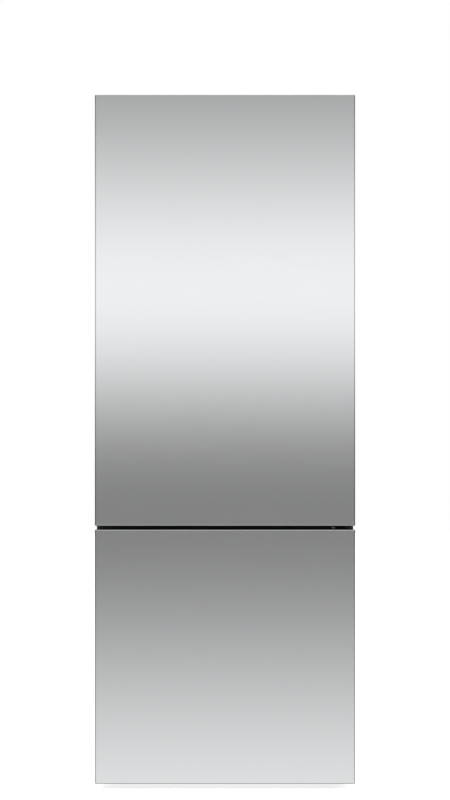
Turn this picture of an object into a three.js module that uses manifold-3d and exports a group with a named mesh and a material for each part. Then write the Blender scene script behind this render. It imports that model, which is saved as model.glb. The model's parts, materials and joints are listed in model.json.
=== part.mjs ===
// Bottom-freezer refrigerator: a fridge compartment with a tall door over a freezer
// with a short one, both doors hung on the right. Millimetres, +Z up, doors face -Y,
// the origin lies on the floor under the middle of the cabinet and doors.
import * as THREE from 'three';
import { mergeVertices } from 'three/addons/utils/BufferGeometryUtils.js';
import Module from 'manifold-3d';

const wasm = await Module();
wasm.setup();

// ---------------------------------------------------------------- driving dimensions
const width = 635;
const depth = 695;
const floorGap = 15; // floor to the lower door
const lowerDoorHeight = 620;
const doorGap = 9; // between the two doors
const upperDoorHeight = 1051;
const doorThickness = 62;
const sealGap = 12; // door back to cabinet front, filled by the gasket
const cabinetLift = 30; // floor to the underside of the cabinet
const cabinetDrop = 15; // cabinet top below the top of the upper door
const seat = 0.25; // clearance between two pieces that rest against each other
const running = 0.1; // radial clearance of a pin in its bore
const loosePlay = 0.3; // radial clearance of a moulded pin or button
const skim = 0.5; // step between the faces of two joined blocks

// cabinet walls, from the outside to the liner's inner face
const fridgeWall = 49.5;
const freezerWall = 62.5;
const ceilingWall = 48;
const freezerFloorWall = 62;
const fridgeBackWall = 62.5;
const freezerBackWall = 85.5;
const dividerHeight = 65; // freezer ceiling to fridge floor
const shellSheet = 1;
const shellFlange = 30; // steel face that the gaskets pull on to
const linerSheet = 2;
const baseSheet = 2;
const rearSheet = 1.5;
const roomDepth = 247.5; // compressor room, low at the back
const roomHeight = 234;
const roomInsulation = 36; // foam between the room and the freezer's step
const trimDepth = 20; // divider trim, behind the cabinet's face

// doors
const skinSheet = 1;
const skinRadius = 4;
const skinBackGap = 4; // the skin's sides end short of the door's back
const capHeight = 40;
const doorLinerSheet = 2.25;
const doorLinerInset = 3.5;
const dykeWidth = 22;
const dykeGap = 12; // dyke to cabinet liner
const fridgeDykeRise = 40;
const freezerDykeRise = 23.5;
const gripDepth = 25; // finger channel in the free edge, across the door
const gripWidth = 32; // and through its thickness
const gripLip = 14; // front edge that the fingers pull on
const gripWall = 2;
const gasketWidth = 16;
const gasketInset = 17; // gasket's outer edge from the door's side
const gasketLift = 36; // freezer gasket's lower edge above the cabinet's underside

// hinges
const pinSide = 20; // pin from the door's side
const pinFront = 40; // pin from the door's front
const pinRadius = 5;
const pinLength = 20;
const hingePlate = 4;
const hingeTongue = 14; // half the width of a hinge's tongue
const hingeClear = 2.5; // door to hinge plate
const hingeFlange = 22;
const hingeFoot = 66; // top hinge's foot, from the pin towards the middle
const hingeFootDepth = 60;
const hingeFlangeThick = 3;
const hingeFlangeReach = 36;
const hingeArm = 52; // bottom hinge's arm, up to its bend under the cabinet
const hingeArmFoot = 40;
const hingeFace = 3.5; // top hinge's foot, behind the cabinet's face
const coverWall = 2;
const coverOver = 8; // hinge cover past the top hinge's foot

// fridge compartment
const shelfHeights = [378, 558, 738]; // above the fridge floor
const glassThick = 4;
const glassSideGap = 4;
const ribWidth = 10;
const ribHeight = 10;
const shelfFront = 113.5; // cabinet front to shelf edge
const shelfBackGap = 27; // shelf to the compartment's back wall
const ductWidth = 220;
const ductDepth = 22.5;
const ductOverrun = 20; // drawn past the liner's back, then cut flat on it
const ductWall = 2.5;
const ductFoot = 24;
const ductHead = 40;
const ductCorner = 8;
const ventWidth = 60; // air slots of the duct, two over each shelf
const ventHeight = 10;
const ventInset = 30; // vent's inner end from the middle
const ventLift = 60; // above the shelf
const crisperHeight = 180;
const crisperFront = 133.5;
const crisperBack = 50; // crisper to the compartment's back wall
const crisperFloor = 3;
const crisperGrip = 20; // grip's end from the crisper's side
const crisperGripReach = 9;
const crisperGripThick = 5;
const railInset = 32; // crisper rails, from the middle and from each wall
const railWidth = 6;
const crisperWall = 2.5;
const crisperSideGap = 6;
const crisperMiddleGap = 8;
const crisperRail = 3.75;
const coverHeight = 16; // from the crisper rim to the cover above it
const coverRail = 14;
const coverRailDepth = 12;
const coverThick = 5;
const sliderWidth = 28; // humidity slider's plate
const sliderHeight = 9;
const sliderThick = 3;
const knobWidth = 8;
const knobHeight = 7;
const knobReach = 8;
const binHeights = { bottle: 110, middle: 85, dairy: 80 };
const binLevels = { bottle: 36, middle: 366, dairy: 701 }; // above the dyke's lower edge
const binDepth = 95;
const binWall = 2.5;
const binSideGap = 10;
const lidThick = 2.5;
const lidFlap = 45;
const panelWidth = 260;
const panelDepth = 90;
const panelThick = 20;
const panelFront = 73.5;
const buttonBore = 8; // depth of a button's bore in the panel
const buttonRadius = 7;
const buttonSpacing = 34;
const buttonCount = 2;
const buttonProud = 2;
const buttonTravel = 1;
const lensWidth = 120;
const lensDepth = 110;
const lensThick = 8;
const lensFront = 213.5;

// freezer compartment
const drawerWall = 2.5;
const drawerSideGap = 11;
const drawerFlange = 8.5;
const drawerFront = 66.5;
const drawerLip = 8;
const drawerHeights = { bottom: 190, middle: 138, top: 80 };
const drawerLevels = { bottom: 6, middle: 210, top: 362 }; // above the freezer floor
const shortDrawerBack = 12; // bottom drawer to the compressor room's step
const longDrawerBack = 14; // upper drawers to the evaporator cover
const drawerFlangeDrop = 10; // flange below the drawer's rim
const drawerFlangeThick = 3;
const drawerLipThick = 5.5;
const runnerWidth = 8;
const runnerHeight = 8;
const trayHalf = 28;
const trayLength = 190;
const trayUp = 8;
const trayDown = 18;
const trayDrop = 34; // tray's axis below the ceiling
const trayFromWall = 55; // tray's axis from the left wall
const trayFrameWall = 3;
const trayFront = 80; // cabinet front to the tray
const trayGap = 3; // tray's end to its frame
const trayPin = 4;
const trayCells = 6; // in each of two rows
const trayWall = 2.5;
const trayKnob = 11;
const evaporatorGap = 64; // cover's back to the compartment's back wall
const evaporatorCoverThick = 6;
const coverPost = 7; // radius of the posts that hold the cover
const coverPostSide = 12; // their middle from the cover's side
const grilleWidth = 140; // return air slots
const grilleHeight = 8;
const grillePitch = 20;
const grilleInset = 60; // slot's inner end from the middle
const coilSideGap = 55; // evaporator to the freezer's wall
const coilCoverGap = 8;
const coilLift = 6; // fins above the step
const coilHeight = 144;
const coilTube = 5;
const finThick = 2;
const fanRadius = 50;
const fanLength = 22;
const fanHub = 14;
const fanDrop = 67; // evaporator fan's axis below the ceiling
const fanMouth = 6; // both fans' tips to the ring round them
const fanPin = 3; // both fans' shafts

// machine room
const machineBack = 122.5; // middle of the compressor and condenser, from the rear
const compressorSide = 142.5; // middle, from the cabinet's side
const compressorRadius = 72;
const compressorHeight = 172;
const compressorBand = 4; // weld band, proud of the shell
const compressorBandTall = 7; // weld seam round the dome
const domeFootInset = 22;
const domeHeelInset = 6;
const domeHeelRise = 12;
const domeFootRise = 34;
const domeCrownDrop = 42;
const domeShoulderInset = 8;
const domeShoulderDrop = 18;
const domeTopInset = 30;
const domeTopDrop = 4;
const compressorBase = 90; // half the base plate's length
const compressorBaseDepth = 70;
const compressorBaseThick = 6;
const grommetHeight = 5;
const grommetRadius = 9;
const grommetInset = 12;
const terminalReach = 22;
const terminalHalf = 26;
const terminalFoot = 60;
const terminalHeight = 58;
const suctionRadius = 5;
const dischargeRadius = 4;
const stubRise = 24; // pipe stubs over the compressor
const stubX = 38;
const stubY = 30;
const condenserSide = 65.5; // far end, from the cabinet's side
const condenserLength = 204;
const condenserDepth = 164;
const condenserLift = 34; // fins above the cabinet's underside
const condenserHeight = 152;
const condenserFanRadius = 58;
const condenserFanLength = 26;
const condenserFanHub = 16;
const condenserFanLift = 102;
const condenserFanGap = 2; // wheel to its shroud
const condenserBoss = 18;
const condenserShaft = 30;
const panInset = 5; // drain pan inside the condenser's ends
const panSideInset = 2;
const panHeight = 22;
const panWall = 2;
const controlBoxWidth = 110;
const controlBoxHeight = 130;
const controlBoxDepth = 34;
const controlBoxLift = 60;
const controlBoxLeft = 90; // its left side from the middle
const louvreSide = 47.5; // cover's slots, from the cabinet's side
const louvreInner = 30; // slots over the condenser start here, from the middle
const louvreFarInner = 110; // slots over the compressor end here
const louvreFoot = 38;
const louvrePitch = 17;
const louvreHeight = 7;
const louvreRows = 9;
const inletX = -40; // mains inlet in the compressor cover
const inletLift = 60;
const inletWidth = 26;
const inletHeight = 18;
const inletDepth = 22;
const inletWall = 5;

// floor
const rollerRadius = 13.75;
const rollerWidth = 18;
const rollerSide = 47.5;
const rollerBack = 57.5;
const axleRadius = 4;
const axleEnd = 2; // axle past its ears
const earThick = 3;
const earGap = 1;
const earHalf = 12;
const earDrop = 7; // ear's lower end below the axle
const footSide = 67.5;
const footFront = 122.5;
const footRadius = 20;
const footPad = 8;
const studRadius = 5;
const nutRadius = 9;
const nutHeight = 6;
const bushWall = 6; // round a foot's stud, under the frame
const bushDrop = 8;

// ---------------------------------------------------------------- places worked out
const halfWidth = width / 2;
const yFront = -depth / 2;
const yRear = depth / 2;
const yDoorBack = yFront + doorThickness;
const yCabinet = yDoorBack + sealGap;
const yShellRear = yRear - rearSheet - seat;
const zLower = floorGap;
const zLowerTop = zLower + lowerDoorHeight;
const zUpper = zLowerTop + doorGap;
const zTop = zUpper + upperDoorHeight;
const zDivider = zLowerTop + doorGap / 2;
const cabinetTop = zTop - cabinetDrop;
const shellInner = halfWidth - shellSheet;
const fridgeHalf = halfWidth - fridgeWall;
const fridgeFloor = zDivider + dividerHeight / 2;
const fridgeCeiling = cabinetTop - ceilingWall;
const fridgeBack = yRear - fridgeBackWall;
const freezerHalf = halfWidth - freezerWall;
const freezerFloor = cabinetLift + freezerFloorWall;
const freezerCeiling = zDivider - dividerHeight / 2;
const freezerBack = yRear - freezerBackWall;
const roomFront = yRear - roomDepth;
const roomTop = cabinetLift + roomHeight;
const stepBack = roomFront - baseSheet - roomInsulation;
const stepTop = roomTop + roomInsulation;
const faceHalf = halfWidth - shellFlange - seat; // what fills the steel face's opening
const hingeX = halfWidth - pinSide;
const hingeY = yFront + pinFront;
const doorLinerFace = yDoorBack - doorLinerSheet;
const coreHalf = shellInner - seat;
const gasketFoot = cabinetLift + gasketLift;
const coverBack = freezerBack - evaporatorGap;
const coverFront = coverBack - evaporatorCoverThick;
const crisperDepth = fridgeBack - crisperBack - (yCabinet + crisperFront);
const shortDrawerDepth = stepBack - shortDrawerBack - (yCabinet + drawerFront);
const longDrawerDepth = coverFront - longDrawerBack - (yCabinet + drawerFront);
const lowerFrameTop = gasketFoot + gasketWidth + 2; // of the base frame's face

// ---------------------------------------------------------------- solids
function solidOf(geometry) {
  const bare = geometry.clone();
  bare.deleteAttribute('normal');
  bare.deleteAttribute('uv');
  const merged = mergeVertices(bare, 1e-4);
  const corners = [];
  for (let i = 0; i < merged.index.count; i += 3) {
    const a = merged.index.getX(i);
    const b = merged.index.getX(i + 1);
    const c = merged.index.getX(i + 2);
    if (a !== b && b !== c && c !== a) corners.push(a, b, c);
  }
  const vertProperties = new Float32Array(merged.attributes.position.array);
  const triVerts = new Uint32Array(corners);
  return new wasm.Manifold(new wasm.Mesh({ numProp: 3, vertProperties, triVerts }));
}

function geometryOf(solid) {
  const mesh = solid.getMesh();
  const geometry = new THREE.BufferGeometry();
  geometry.setAttribute('position', new THREE.BufferAttribute(mesh.vertProperties, 3));
  geometry.setIndex(new THREE.BufferAttribute(mesh.triVerts, 1));
  geometry.computeVertexNormals();
  return geometry;
}

function join(first, ...others) {
  return others.reduce((whole, piece) => whole.add(piece), first);
}

function cut(whole, ...tools) {
  return tools.reduce((rest, tool) => rest.subtract(tool), whole);
}

function block(x0, x1, y0, y1, z0, z1) {
  const box = new THREE.BoxGeometry(x1 - x0, y1 - y0, z1 - z0);
  box.translate((x0 + x1) / 2, (y0 + y1) / 2, (z0 + z1) / 2);
  return solidOf(box);
}

// turns a shape drawn in the two other axes, in the order x, y, z, into a prism
const standing = {
  x: new THREE.Matrix4().set(0, 0, 1, 0, 1, 0, 0, 0, 0, 1, 0, 0, 0, 0, 0, 1),
  y: new THREE.Matrix4().set(1, 0, 0, 0, 0, 0, -1, 0, 0, 1, 0, 0, 0, 0, 0, 1),
  z: new THREE.Matrix4(),
};

function prism(axis, shape, from, to, curveSegments = 6) {
  const geometry = new THREE.ExtrudeGeometry(shape, {
    depth: to - from,
    bevelEnabled: false,
    curveSegments,
  });
  geometry.translate(0, 0, axis === 'y' ? -to : from);
  geometry.applyMatrix4(standing[axis]);
  return solidOf(geometry);
}

function rod(axis, radius, from, to, a, b, sides = 24) {
  const circle = new THREE.Shape();
  circle.absarc(a, b, radius, 0, Math.PI * 2);
  return prism(axis, circle, from, to, sides / 2);
}

function roundRect(a0, a1, b0, b1, radius) {
  const shape = new THREE.Shape();
  shape.moveTo(a0 + radius, b0);
  shape.lineTo(a1 - radius, b0);
  shape.absarc(a1 - radius, b0 + radius, radius, -Math.PI / 2, 0);
  shape.lineTo(a1, b1 - radius);
  shape.absarc(a1 - radius, b1 - radius, radius, 0, Math.PI / 2);
  shape.lineTo(a0 + radius, b1);
  shape.absarc(a0 + radius, b1 - radius, radius, Math.PI / 2, Math.PI);
  shape.lineTo(a0, b0 + radius);
  shape.absarc(a0 + radius, b0 + radius, radius, Math.PI, Math.PI * 1.5);
  return shape;
}

function polygon(points) {
  return new THREE.Shape(points.map(([a, b]) => new THREE.Vector2(a, b)));
}

// a rotor turning about Z: hub, flat pitched blades and a bore for its pin
function rotor({ hub, tip, length, blades, bore, pitch = 0.6 }) {
  let wheel = rod('z', hub, 0, length, 0, 0);
  for (let i = 0; i < blades; i += 1) {
    const blade = new THREE.BoxGeometry(tip - hub + 4, tip * 0.55, 2);
    blade.rotateX(pitch);
    blade.translate((tip + hub - 4) / 2, 0, length / 2);
    blade.rotateZ((i * Math.PI * 2) / blades);
    wheel = wheel.add(solidOf(blade));
  }
  return cut(wheel, rod('z', bore, -1, length + 1, 0, 0, 16));
}

// fins threaded on straight tubes between two end plates, all along X
function finBlock({ x0, x1, y0, y1, z0, z1, fins, rows, columns, tube, endPlate, endFoot }) {
  const plates = [];
  const step = (x1 - x0 - endPlate) / (fins + 1);
  for (let i = 0; i <= fins + 1; i += 1) {
    const x = x0 + i * step;
    const isEnd = i === 0 || i === fins + 1;
    plates.push(block(x, x + endPlate, y0, y1, isEnd ? endFoot : z0, z1));
  }
  for (let row = 0; row < rows; row += 1) {
    for (let column = 0; column < columns; column += 1) {
      const y = y0 + ((column + 0.5) * (y1 - y0)) / columns;
      const z = z0 + ((row + 0.5) * (z1 - z0)) / rows;
      plates.push(rod('x', tube, x0, x1, y, z, 6));
    }
  }
  return join(...plates);
}

// an open tray: outer block less its inside, standing on z = 0
function tray(x0, x1, y0, y1, height, wall, floor) {
  const outer = block(x0, x1, y0, y1, 0, height);
  const inside = block(x0 + wall, x1 - wall, y0 + wall, y1 - wall, floor, height + 10);
  return cut(outer, inside);
}

// ---------------------------------------------------------------- finishes and scene
const finish = (color, roughness, metalness = 0, opacity = 1) =>
  new THREE.MeshStandardMaterial({
    color,
    roughness,
    metalness,
    opacity,
    transparent: opacity < 1,
  });

const finishes = {
  brushedSteel: finish(0xc4c5c6, 0.34, 1),
  paintedSteel: finish(0x9a9c9e, 0.5, 0.3),
  darkSteel: finish(0x1b1c1d, 0.45, 0.4),
  galvanised: finish(0xb4b8ba, 0.42, 0.9),
  whiteLiner: finish(0xeceef0, 0.38),
  darkPlastic: finish(0x2a2b2d, 0.5),
  greyPlastic: finish(0x7d8083, 0.5),
  foam: finish(0xe3cf94, 0.9),
  gasket: finish(0x55585a, 0.75),
  clearPlastic: finish(0xdfe8ee, 0.12, 0, 0.45),
  frostedPlastic: finish(0xe4edf3, 0.3, 0, 0.7),
  glass: finish(0xd6ebe6, 0.05, 0, 0.35),
  aluminium: finish(0xc9ccce, 0.35, 0.9),
  blackEnamel: finish(0x141516, 0.3, 0.4),
  rubber: finish(0x202122, 0.8),
};

const refrigerator = new THREE.Group();

function assembly(parent = refrigerator) {
  const group = new THREE.Group();
  parent.add(group);
  return group;
}

function add(parent, name, solid, material, position = [0, 0, 0]) {
  const mesh = new THREE.Mesh(geometryOf(solid), material);
  mesh.name = name;
  mesh.position.set(...position);
  parent.add(mesh);
  return mesh;
}

// ---------------------------------------------------------------- cabinet
const cabinet = assembly();

function cabinetShell() {
  const outer = block(-halfWidth, halfWidth, yCabinet, yShellRear, cabinetLift, cabinetTop);
  const inside = block(
    -shellInner, shellInner,
    yCabinet + shellSheet, yShellRear + 1,
    cabinetLift - 1, cabinetTop - shellSheet,
  );
  const face = halfWidth - shellFlange;
  const mouth = block(
    -face, face,
    yCabinet - 1, yCabinet + shellSheet + 1,
    cabinetLift - 1, cabinetTop - shellFlange,
  );
  return cut(outer, inside, mouth);
}

// box that a liner's outside fills, grown by a clearance
function fridgeLinerBox(grow) {
  const side = fridgeHalf + linerSheet + grow;
  return block(
    -side, side,
    yCabinet - grow, fridgeBack + linerSheet + grow,
    fridgeFloor - linerSheet - grow, fridgeCeiling + linerSheet + grow,
  );
}

function freezerLinerBox(grow) {
  const side = freezerHalf + linerSheet + grow;
  const outline = polygon([
    [yCabinet - grow, freezerFloor - linerSheet - grow],
    [stepBack + linerSheet + grow, freezerFloor - linerSheet - grow],
    [stepBack + linerSheet + grow, stepTop - linerSheet - grow],
    [freezerBack + linerSheet + grow, stepTop - linerSheet - grow],
    [freezerBack + linerSheet + grow, freezerCeiling + linerSheet + grow],
    [yCabinet - grow, freezerCeiling + linerSheet + grow],
  ]);
  return prism('x', outline, -side, side);
}

function fridgeLiner() {
  const flange = block(
    -faceHalf, faceHalf,
    yCabinet, yCabinet + linerSheet,
    fridgeFloor - linerSheet, cabinetTop - shellFlange - seat,
  );
  const inside = block(
    -fridgeHalf, fridgeHalf, yCabinet - 1, fridgeBack, fridgeFloor, fridgeCeiling,
  );
  let liner = cut(join(fridgeLinerBox(0), flange), inside);
  const ribFront = yCabinet + shelfFront - 5;
  const ribBack = fridgeBack - shelfBackGap;
  const levels = [crisperHeight + crisperRail + coverHeight, ...shelfHeights];
  for (const level of levels) {
    const top = fridgeFloor + level - seat;
    for (const side of [-1, 1]) {
      const x0 = side > 0 ? fridgeHalf - ribWidth : -fridgeHalf - 1;
      liner = liner.add(
        block(x0, x0 + ribWidth + 1, ribFront, ribBack, top - ribHeight, top),
      );
    }
  }
  const outerRail = fridgeHalf - railInset;
  for (const x of [-outerRail, -railInset, railInset, outerRail]) {
    liner = liner.add(
      block(
        x - railWidth / 2, x + railWidth / 2,
        ribFront, ribBack,
        fridgeFloor - 1, fridgeFloor + crisperRail,
      ),
    );
  }
  return liner;
}

function freezerLiner() {
  const flange = block(
    -faceHalf, faceHalf,
    yCabinet, yCabinet + linerSheet,
    lowerFrameTop + seat, freezerCeiling + linerSheet,
  );
  const inside = prism(
    'x',
    polygon([
      [yCabinet - 1, freezerFloor],
      [stepBack, freezerFloor],
      [stepBack, stepTop],
      [freezerBack, stepTop],
      [freezerBack, freezerCeiling],
      [yCabinet - 1, freezerCeiling],
    ]),
    -freezerHalf,
    freezerHalf,
  );
  let liner = cut(join(freezerLinerBox(0), flange), inside);
  for (const [key, level] of Object.entries(drawerLevels)) {
    const top = freezerFloor + level + drawerHeights[key] - drawerFlangeDrop - seat;
    const back = key === 'bottom' ? shortDrawerDepth : longDrawerDepth;
    const front = yCabinet + drawerFront + drawerLip;
    for (const side of [-1, 1]) {
      const x0 = side > 0 ? freezerHalf - runnerWidth : -freezerHalf - 1;
      liner = liner.add(
        block(
          x0, x0 + runnerWidth + 1,
          front, yCabinet + drawerFront + back - 10,
          top - runnerHeight, top,
        ),
      );
    }
  }
  return liner;
}

function dividerTrim() {
  const z0 = freezerCeiling + linerSheet + seat;
  const z1 = fridgeFloor - linerSheet - seat;
  const bar = block(-faceHalf, faceHalf, yCabinet, yCabinet + trimDepth, z0, z1);
  const hollow = block(
    -faceHalf - 1, faceHalf + 1,
    yCabinet + baseSheet, yCabinet + trimDepth + 1,
    z0 + baseSheet, z1 - baseSheet,
  );
  return cut(bar, hollow);
}

function cabinetFoam() {
  const whole = block(
    -coreHalf, coreHalf,
    yCabinet + linerSheet + seat, yShellRear,
    cabinetLift + baseSheet + seat, cabinetTop - shellSheet - seat,
  );
  const room = block(
    -halfWidth, halfWidth,
    roomFront - baseSheet - seat, yRear,
    0, roomTop + seat,
  );
  const bar = block(
    -faceHalf - seat, faceHalf + seat,
    yCabinet, yCabinet + trimDepth + seat,
    freezerCeiling + linerSheet, fridgeFloor - linerSheet,
  );
  return cut(whole, fridgeLinerBox(seat), freezerLinerBox(seat), room, bar);
}

function baseFrame() {
  const front = yCabinet + shellSheet + seat;
  const floorTop = cabinetLift + baseSheet;
  // one folded sheet: floor, riser in front of the machine room, hood over it
  const sheet = prism('x', polygon([
    [front, cabinetLift],
    [yShellRear, cabinetLift],
    [yShellRear, floorTop],
    [roomFront, floorTop],
    [roomFront, roomTop - baseSheet],
    [yShellRear, roomTop - baseSheet],
    [yShellRear, roomTop],
    [roomFront - baseSheet, roomTop],
    [roomFront - baseSheet, floorTop],
    [front, floorTop],
  ]), -coreHalf, coreHalf);
  const face = block(-faceHalf, faceHalf, yCabinet, yCabinet + baseSheet,
    cabinetLift + skim, lowerFrameTop);
  let frame = join(sheet, face);
  for (const side of [-1, 1]) {
    const x = side * (halfWidth - rollerSide);
    const y = yRear - rollerBack;
    const reach = rollerWidth / 2 + earGap;
    for (const ear of [-reach - earThick, reach]) {
      frame = frame.add(
        block(x + ear, x + ear + earThick, y - earHalf, y + earHalf,
          rollerRadius - earDrop, cabinetLift + 1),
      );
    }
    const axle = reach + earThick + axleEnd;
    frame = frame.add(
      rod('x', axleRadius, x - axle, x + axle, y, rollerRadius + seat, 16),
    );
    const footX = side * (halfWidth - footSide);
    const footY = yFront + footFront;
    frame = frame.add(
      rod('z', studRadius + bushWall, cabinetLift - bushDrop, cabinetLift + 1,
        footX, footY, 18),
    );
    frame = frame.subtract(
      rod('z', studRadius + running, cabinetLift - bushDrop - 1, cabinetLift + baseSheet + 1,
        footX, footY, 18),
    );
  }
  return frame;
}

function rearPanel() {
  return block(
    -coreHalf, coreHalf,
    yRear - rearSheet, yRear,
    roomTop + seat, cabinetTop - shellSheet - seat,
  );
}

function compressorCover() {
  const z0 = cabinetLift + baseSheet + seat;
  const z1 = roomTop - seat;
  const outer = halfWidth - louvreSide;
  let cover = block(-coreHalf, coreHalf, yRear - rearSheet, yRear, z0, z1);
  for (const [from, to] of [[louvreInner, outer], [-outer, -louvreFarInner]]) {
    for (let row = 0; row < louvreRows; row += 1) {
      const z = z0 + louvreFoot + row * louvrePitch;
      cover = cover.subtract(block(from, to, yRear - 5, yRear + 1, z, z + louvreHeight));
    }
  }
  const half = inletWidth / 2;
  const rise = inletHeight / 2;
  const inletZ = z0 + inletLift;
  const socket = block(
    inletX - half - inletWall, inletX + half + inletWall,
    yRear - inletDepth - 4, yRear - skim,
    inletZ - rise - 4, inletZ + rise + 4,
  );
  const mouth = block(
    inletX - half, inletX + half,
    yRear - inletDepth, yRear + 1,
    inletZ - rise, inletZ + rise,
  );
  return cut(join(cover, socket), mouth);
}

add(cabinet, 'cabinet_shell', cabinetShell(), finishes.paintedSteel);
add(cabinet, 'cabinet_foam', cabinetFoam(), finishes.foam);
add(cabinet, 'fridge_liner', fridgeLiner(), finishes.whiteLiner);
add(cabinet, 'freezer_liner', freezerLiner(), finishes.whiteLiner);
add(cabinet, 'divider_trim', dividerTrim(), finishes.darkSteel);
add(cabinet, 'base_frame', baseFrame(), finishes.galvanised);
add(cabinet, 'rear_panel', rearPanel(), finishes.galvanised);
add(cabinet, 'compressor_cover', compressorCover(), finishes.darkPlastic);

// ---------------------------------------------------------------- hinges
function tonguePlate(z0, z1, back) {
  const outline = new THREE.Shape();
  outline.moveTo(hingeX + hingeTongue, back);
  outline.lineTo(hingeX - hingeTongue, back);
  outline.lineTo(hingeX - hingeTongue, hingeY);
  outline.absarc(hingeX, hingeY, hingeTongue, Math.PI, Math.PI * 2);
  return prism('z', outline, z0, z1, 12);
}

function hingePin(z0, z1) {
  return rod('z', pinRadius, z0, z1, hingeX, hingeY);
}

const topPlateZ = cabinetTop + seat;

function topHinge() {
  const plate = tonguePlate(topPlateZ, topPlateZ + hingePlate, yCabinet + hingeFace + 2);
  const foot = block(
    hingeX - hingeFoot, hingeX + hingeTongue - 2,
    yCabinet + hingeFace, yCabinet + hingeFootDepth,
    topPlateZ, topPlateZ + hingePlate - skim,
  );
  const pin = hingePin(topPlateZ - pinLength - hingeClear, topPlateZ + 1);
  return join(plate, foot, pin);
}

function hingeCover() {
  const rise = cabinetDrop - 1;
  const left = hingeX - hingeFoot - coverOver;
  const right = hingeX + hingeTongue + 3;
  const back = yCabinet + hingeFootDepth + coverOver + 4;
  const outer = prism('z', roundRect(left, right, yCabinet + 1, back, 5),
    topPlateZ, topPlateZ + rise, 4);
  const inside = block(
    left + coverWall, right - coverWall,
    yCabinet + 1 + coverWall, back - coverWall,
    topPlateZ - 1, topPlateZ + rise - coverWall,
  );
  const mouth = block(
    hingeX - hingeTongue - skim, hingeX + hingeTongue + skim,
    yCabinet - 1, yCabinet + 5,
    topPlateZ - 1, topPlateZ + hingePlate + skim,
  );
  return cut(outer, inside, mouth);
}

function middleHinge() {
  const back = yCabinet - seat;
  const plate = tonguePlate(zDivider - hingePlate / 2, zDivider + hingePlate / 2, back - 1);
  const flange = block(
    hingeX - hingeFlangeReach, hingeX + hingeTongue,
    back - hingeFlangeThick, back,
    zDivider - hingeFlange / 2, zDivider + hingeFlange / 2,
  );
  const pin = hingePin(zDivider - pinLength - hingeClear, zDivider + pinLength + hingeClear);
  return join(plate, flange, pin);
}

const bottomPlateZ = zLower + 2;

function bottomHinge() {
  const bend = yCabinet + hingeArm;
  const plate = tonguePlate(bottomPlateZ, bottomPlateZ + hingePlate, bend);
  const roof = cabinetLift - seat;
  const bent = prism('x', polygon([
    [bend - hingePlate - skim, bottomPlateZ + skim],
    [bend - skim, bottomPlateZ + skim],
    [bend - skim, roof - hingePlate],
    [bend + hingeArmFoot, roof - hingePlate],
    [bend + hingeArmFoot, roof],
    [bend - hingePlate - skim, roof],
  ]), hingeX - hingeTongue + skim, hingeX + hingeTongue - skim);
  const pin = hingePin(bottomPlateZ + 1, bottomPlateZ + hingePlate + hingeClear + pinLength);
  return join(plate, bent, pin);
}

add(cabinet, 'top_hinge', topHinge(), finishes.galvanised);
add(cabinet, 'middle_hinge', middleHinge(), finishes.darkSteel);
add(cabinet, 'bottom_hinge', bottomHinge(), finishes.darkSteel);
add(cabinet, 'hinge_cover', hingeCover(), finishes.greyPlastic);

// ---------------------------------------------------------------- fridge fittings
const shelfBackY = fridgeBack - shelfBackGap;
const glassHalf = fridgeHalf - glassSideGap;

function glassShelf() {
  const front = yCabinet + shelfFront;
  return prism(
    'z', roundRect(-glassHalf, glassHalf, front, shelfBackY, 6), 0, glassThick, 3,
  );
}

const shelfNames = ['lower', 'middle', 'upper'];
for (const [i, name] of shelfNames.entries()) {
  add(cabinet, `shelf_glass_${name}`, glassShelf(), finishes.glass,
    [0, 0, fridgeFloor + shelfHeights[i]]);
}

const coverZ = fridgeFloor + crisperHeight + crisperRail + coverHeight;

function crisperCover() {
  const front = yCabinet + shelfFront;
  const pane = block(-glassHalf, glassHalf, front, shelfBackY, 0, coverThick);
  const rail = block(-glassHalf + skim, glassHalf - skim, front - coverRailDepth, front + 3,
    coverThick - coverRail, coverThick - skim);
  let cover = join(pane, rail);
  // the rail's ends clear the ribs that carry the pane
  for (const side of [-1, 1]) {
    const x0 = side > 0 ? fridgeHalf - ribWidth - skim : -fridgeHalf;
    cover = cover.subtract(
      block(x0, x0 + ribWidth + skim, front - coverRailDepth - 1, front + 4, -coverRail, 0),
    );
  }
  return cover;
}

add(cabinet, 'crisper_cover', crisperCover(), finishes.glass, [0, 0, coverZ]);

// a knob on each side of the crisper cover's rail, over its own drawer
function humiditySlider() {
  const plate = block(-sliderWidth / 2, sliderWidth / 2, -sliderThick, 0,
    -sliderHeight / 2, sliderHeight / 2);
  const knob = block(-knobWidth / 2, knobWidth / 2, -knobReach, 1 - sliderThick,
    -knobHeight / 2, knobHeight / 2);
  return join(plate, knob);
}

const crisperHalfSpan = (fridgeHalf - crisperSideGap + crisperMiddleGap / 2) / 2;
for (const [side, name] of [[-1, 'left'], [1, 'right']]) {
  add(assembly(cabinet), `humidity_slider_${name}`, humiditySlider(), finishes.darkPlastic, [
    side * crisperHalfSpan,
    yCabinet + shelfFront - coverRailDepth - seat,
    coverZ + coverThick - coverRail / 2,
  ]);
}

function crisper(span) {
  const body = tray(-span / 2, span / 2, 0, crisperDepth, crisperHeight, crisperWall,
    crisperFloor);
  const grip = block(-span / 2 + crisperGrip, span / 2 - crisperGrip, -crisperGripReach, 1,
    crisperHeight - skim - crisperGripThick, crisperHeight - skim);
  return join(body, grip);
}

const crisperSpan = fridgeHalf - crisperSideGap - crisperMiddleGap / 2;
for (const [side, name] of [[-1, 'left'], [1, 'right']]) {
  add(assembly(cabinet), `crisper_${name}`, crisper(crisperSpan), finishes.clearPlastic, [
    side * crisperHalfSpan,
    yCabinet + crisperFront,
    fridgeFloor + crisperRail + seat,
  ]);
}

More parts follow.
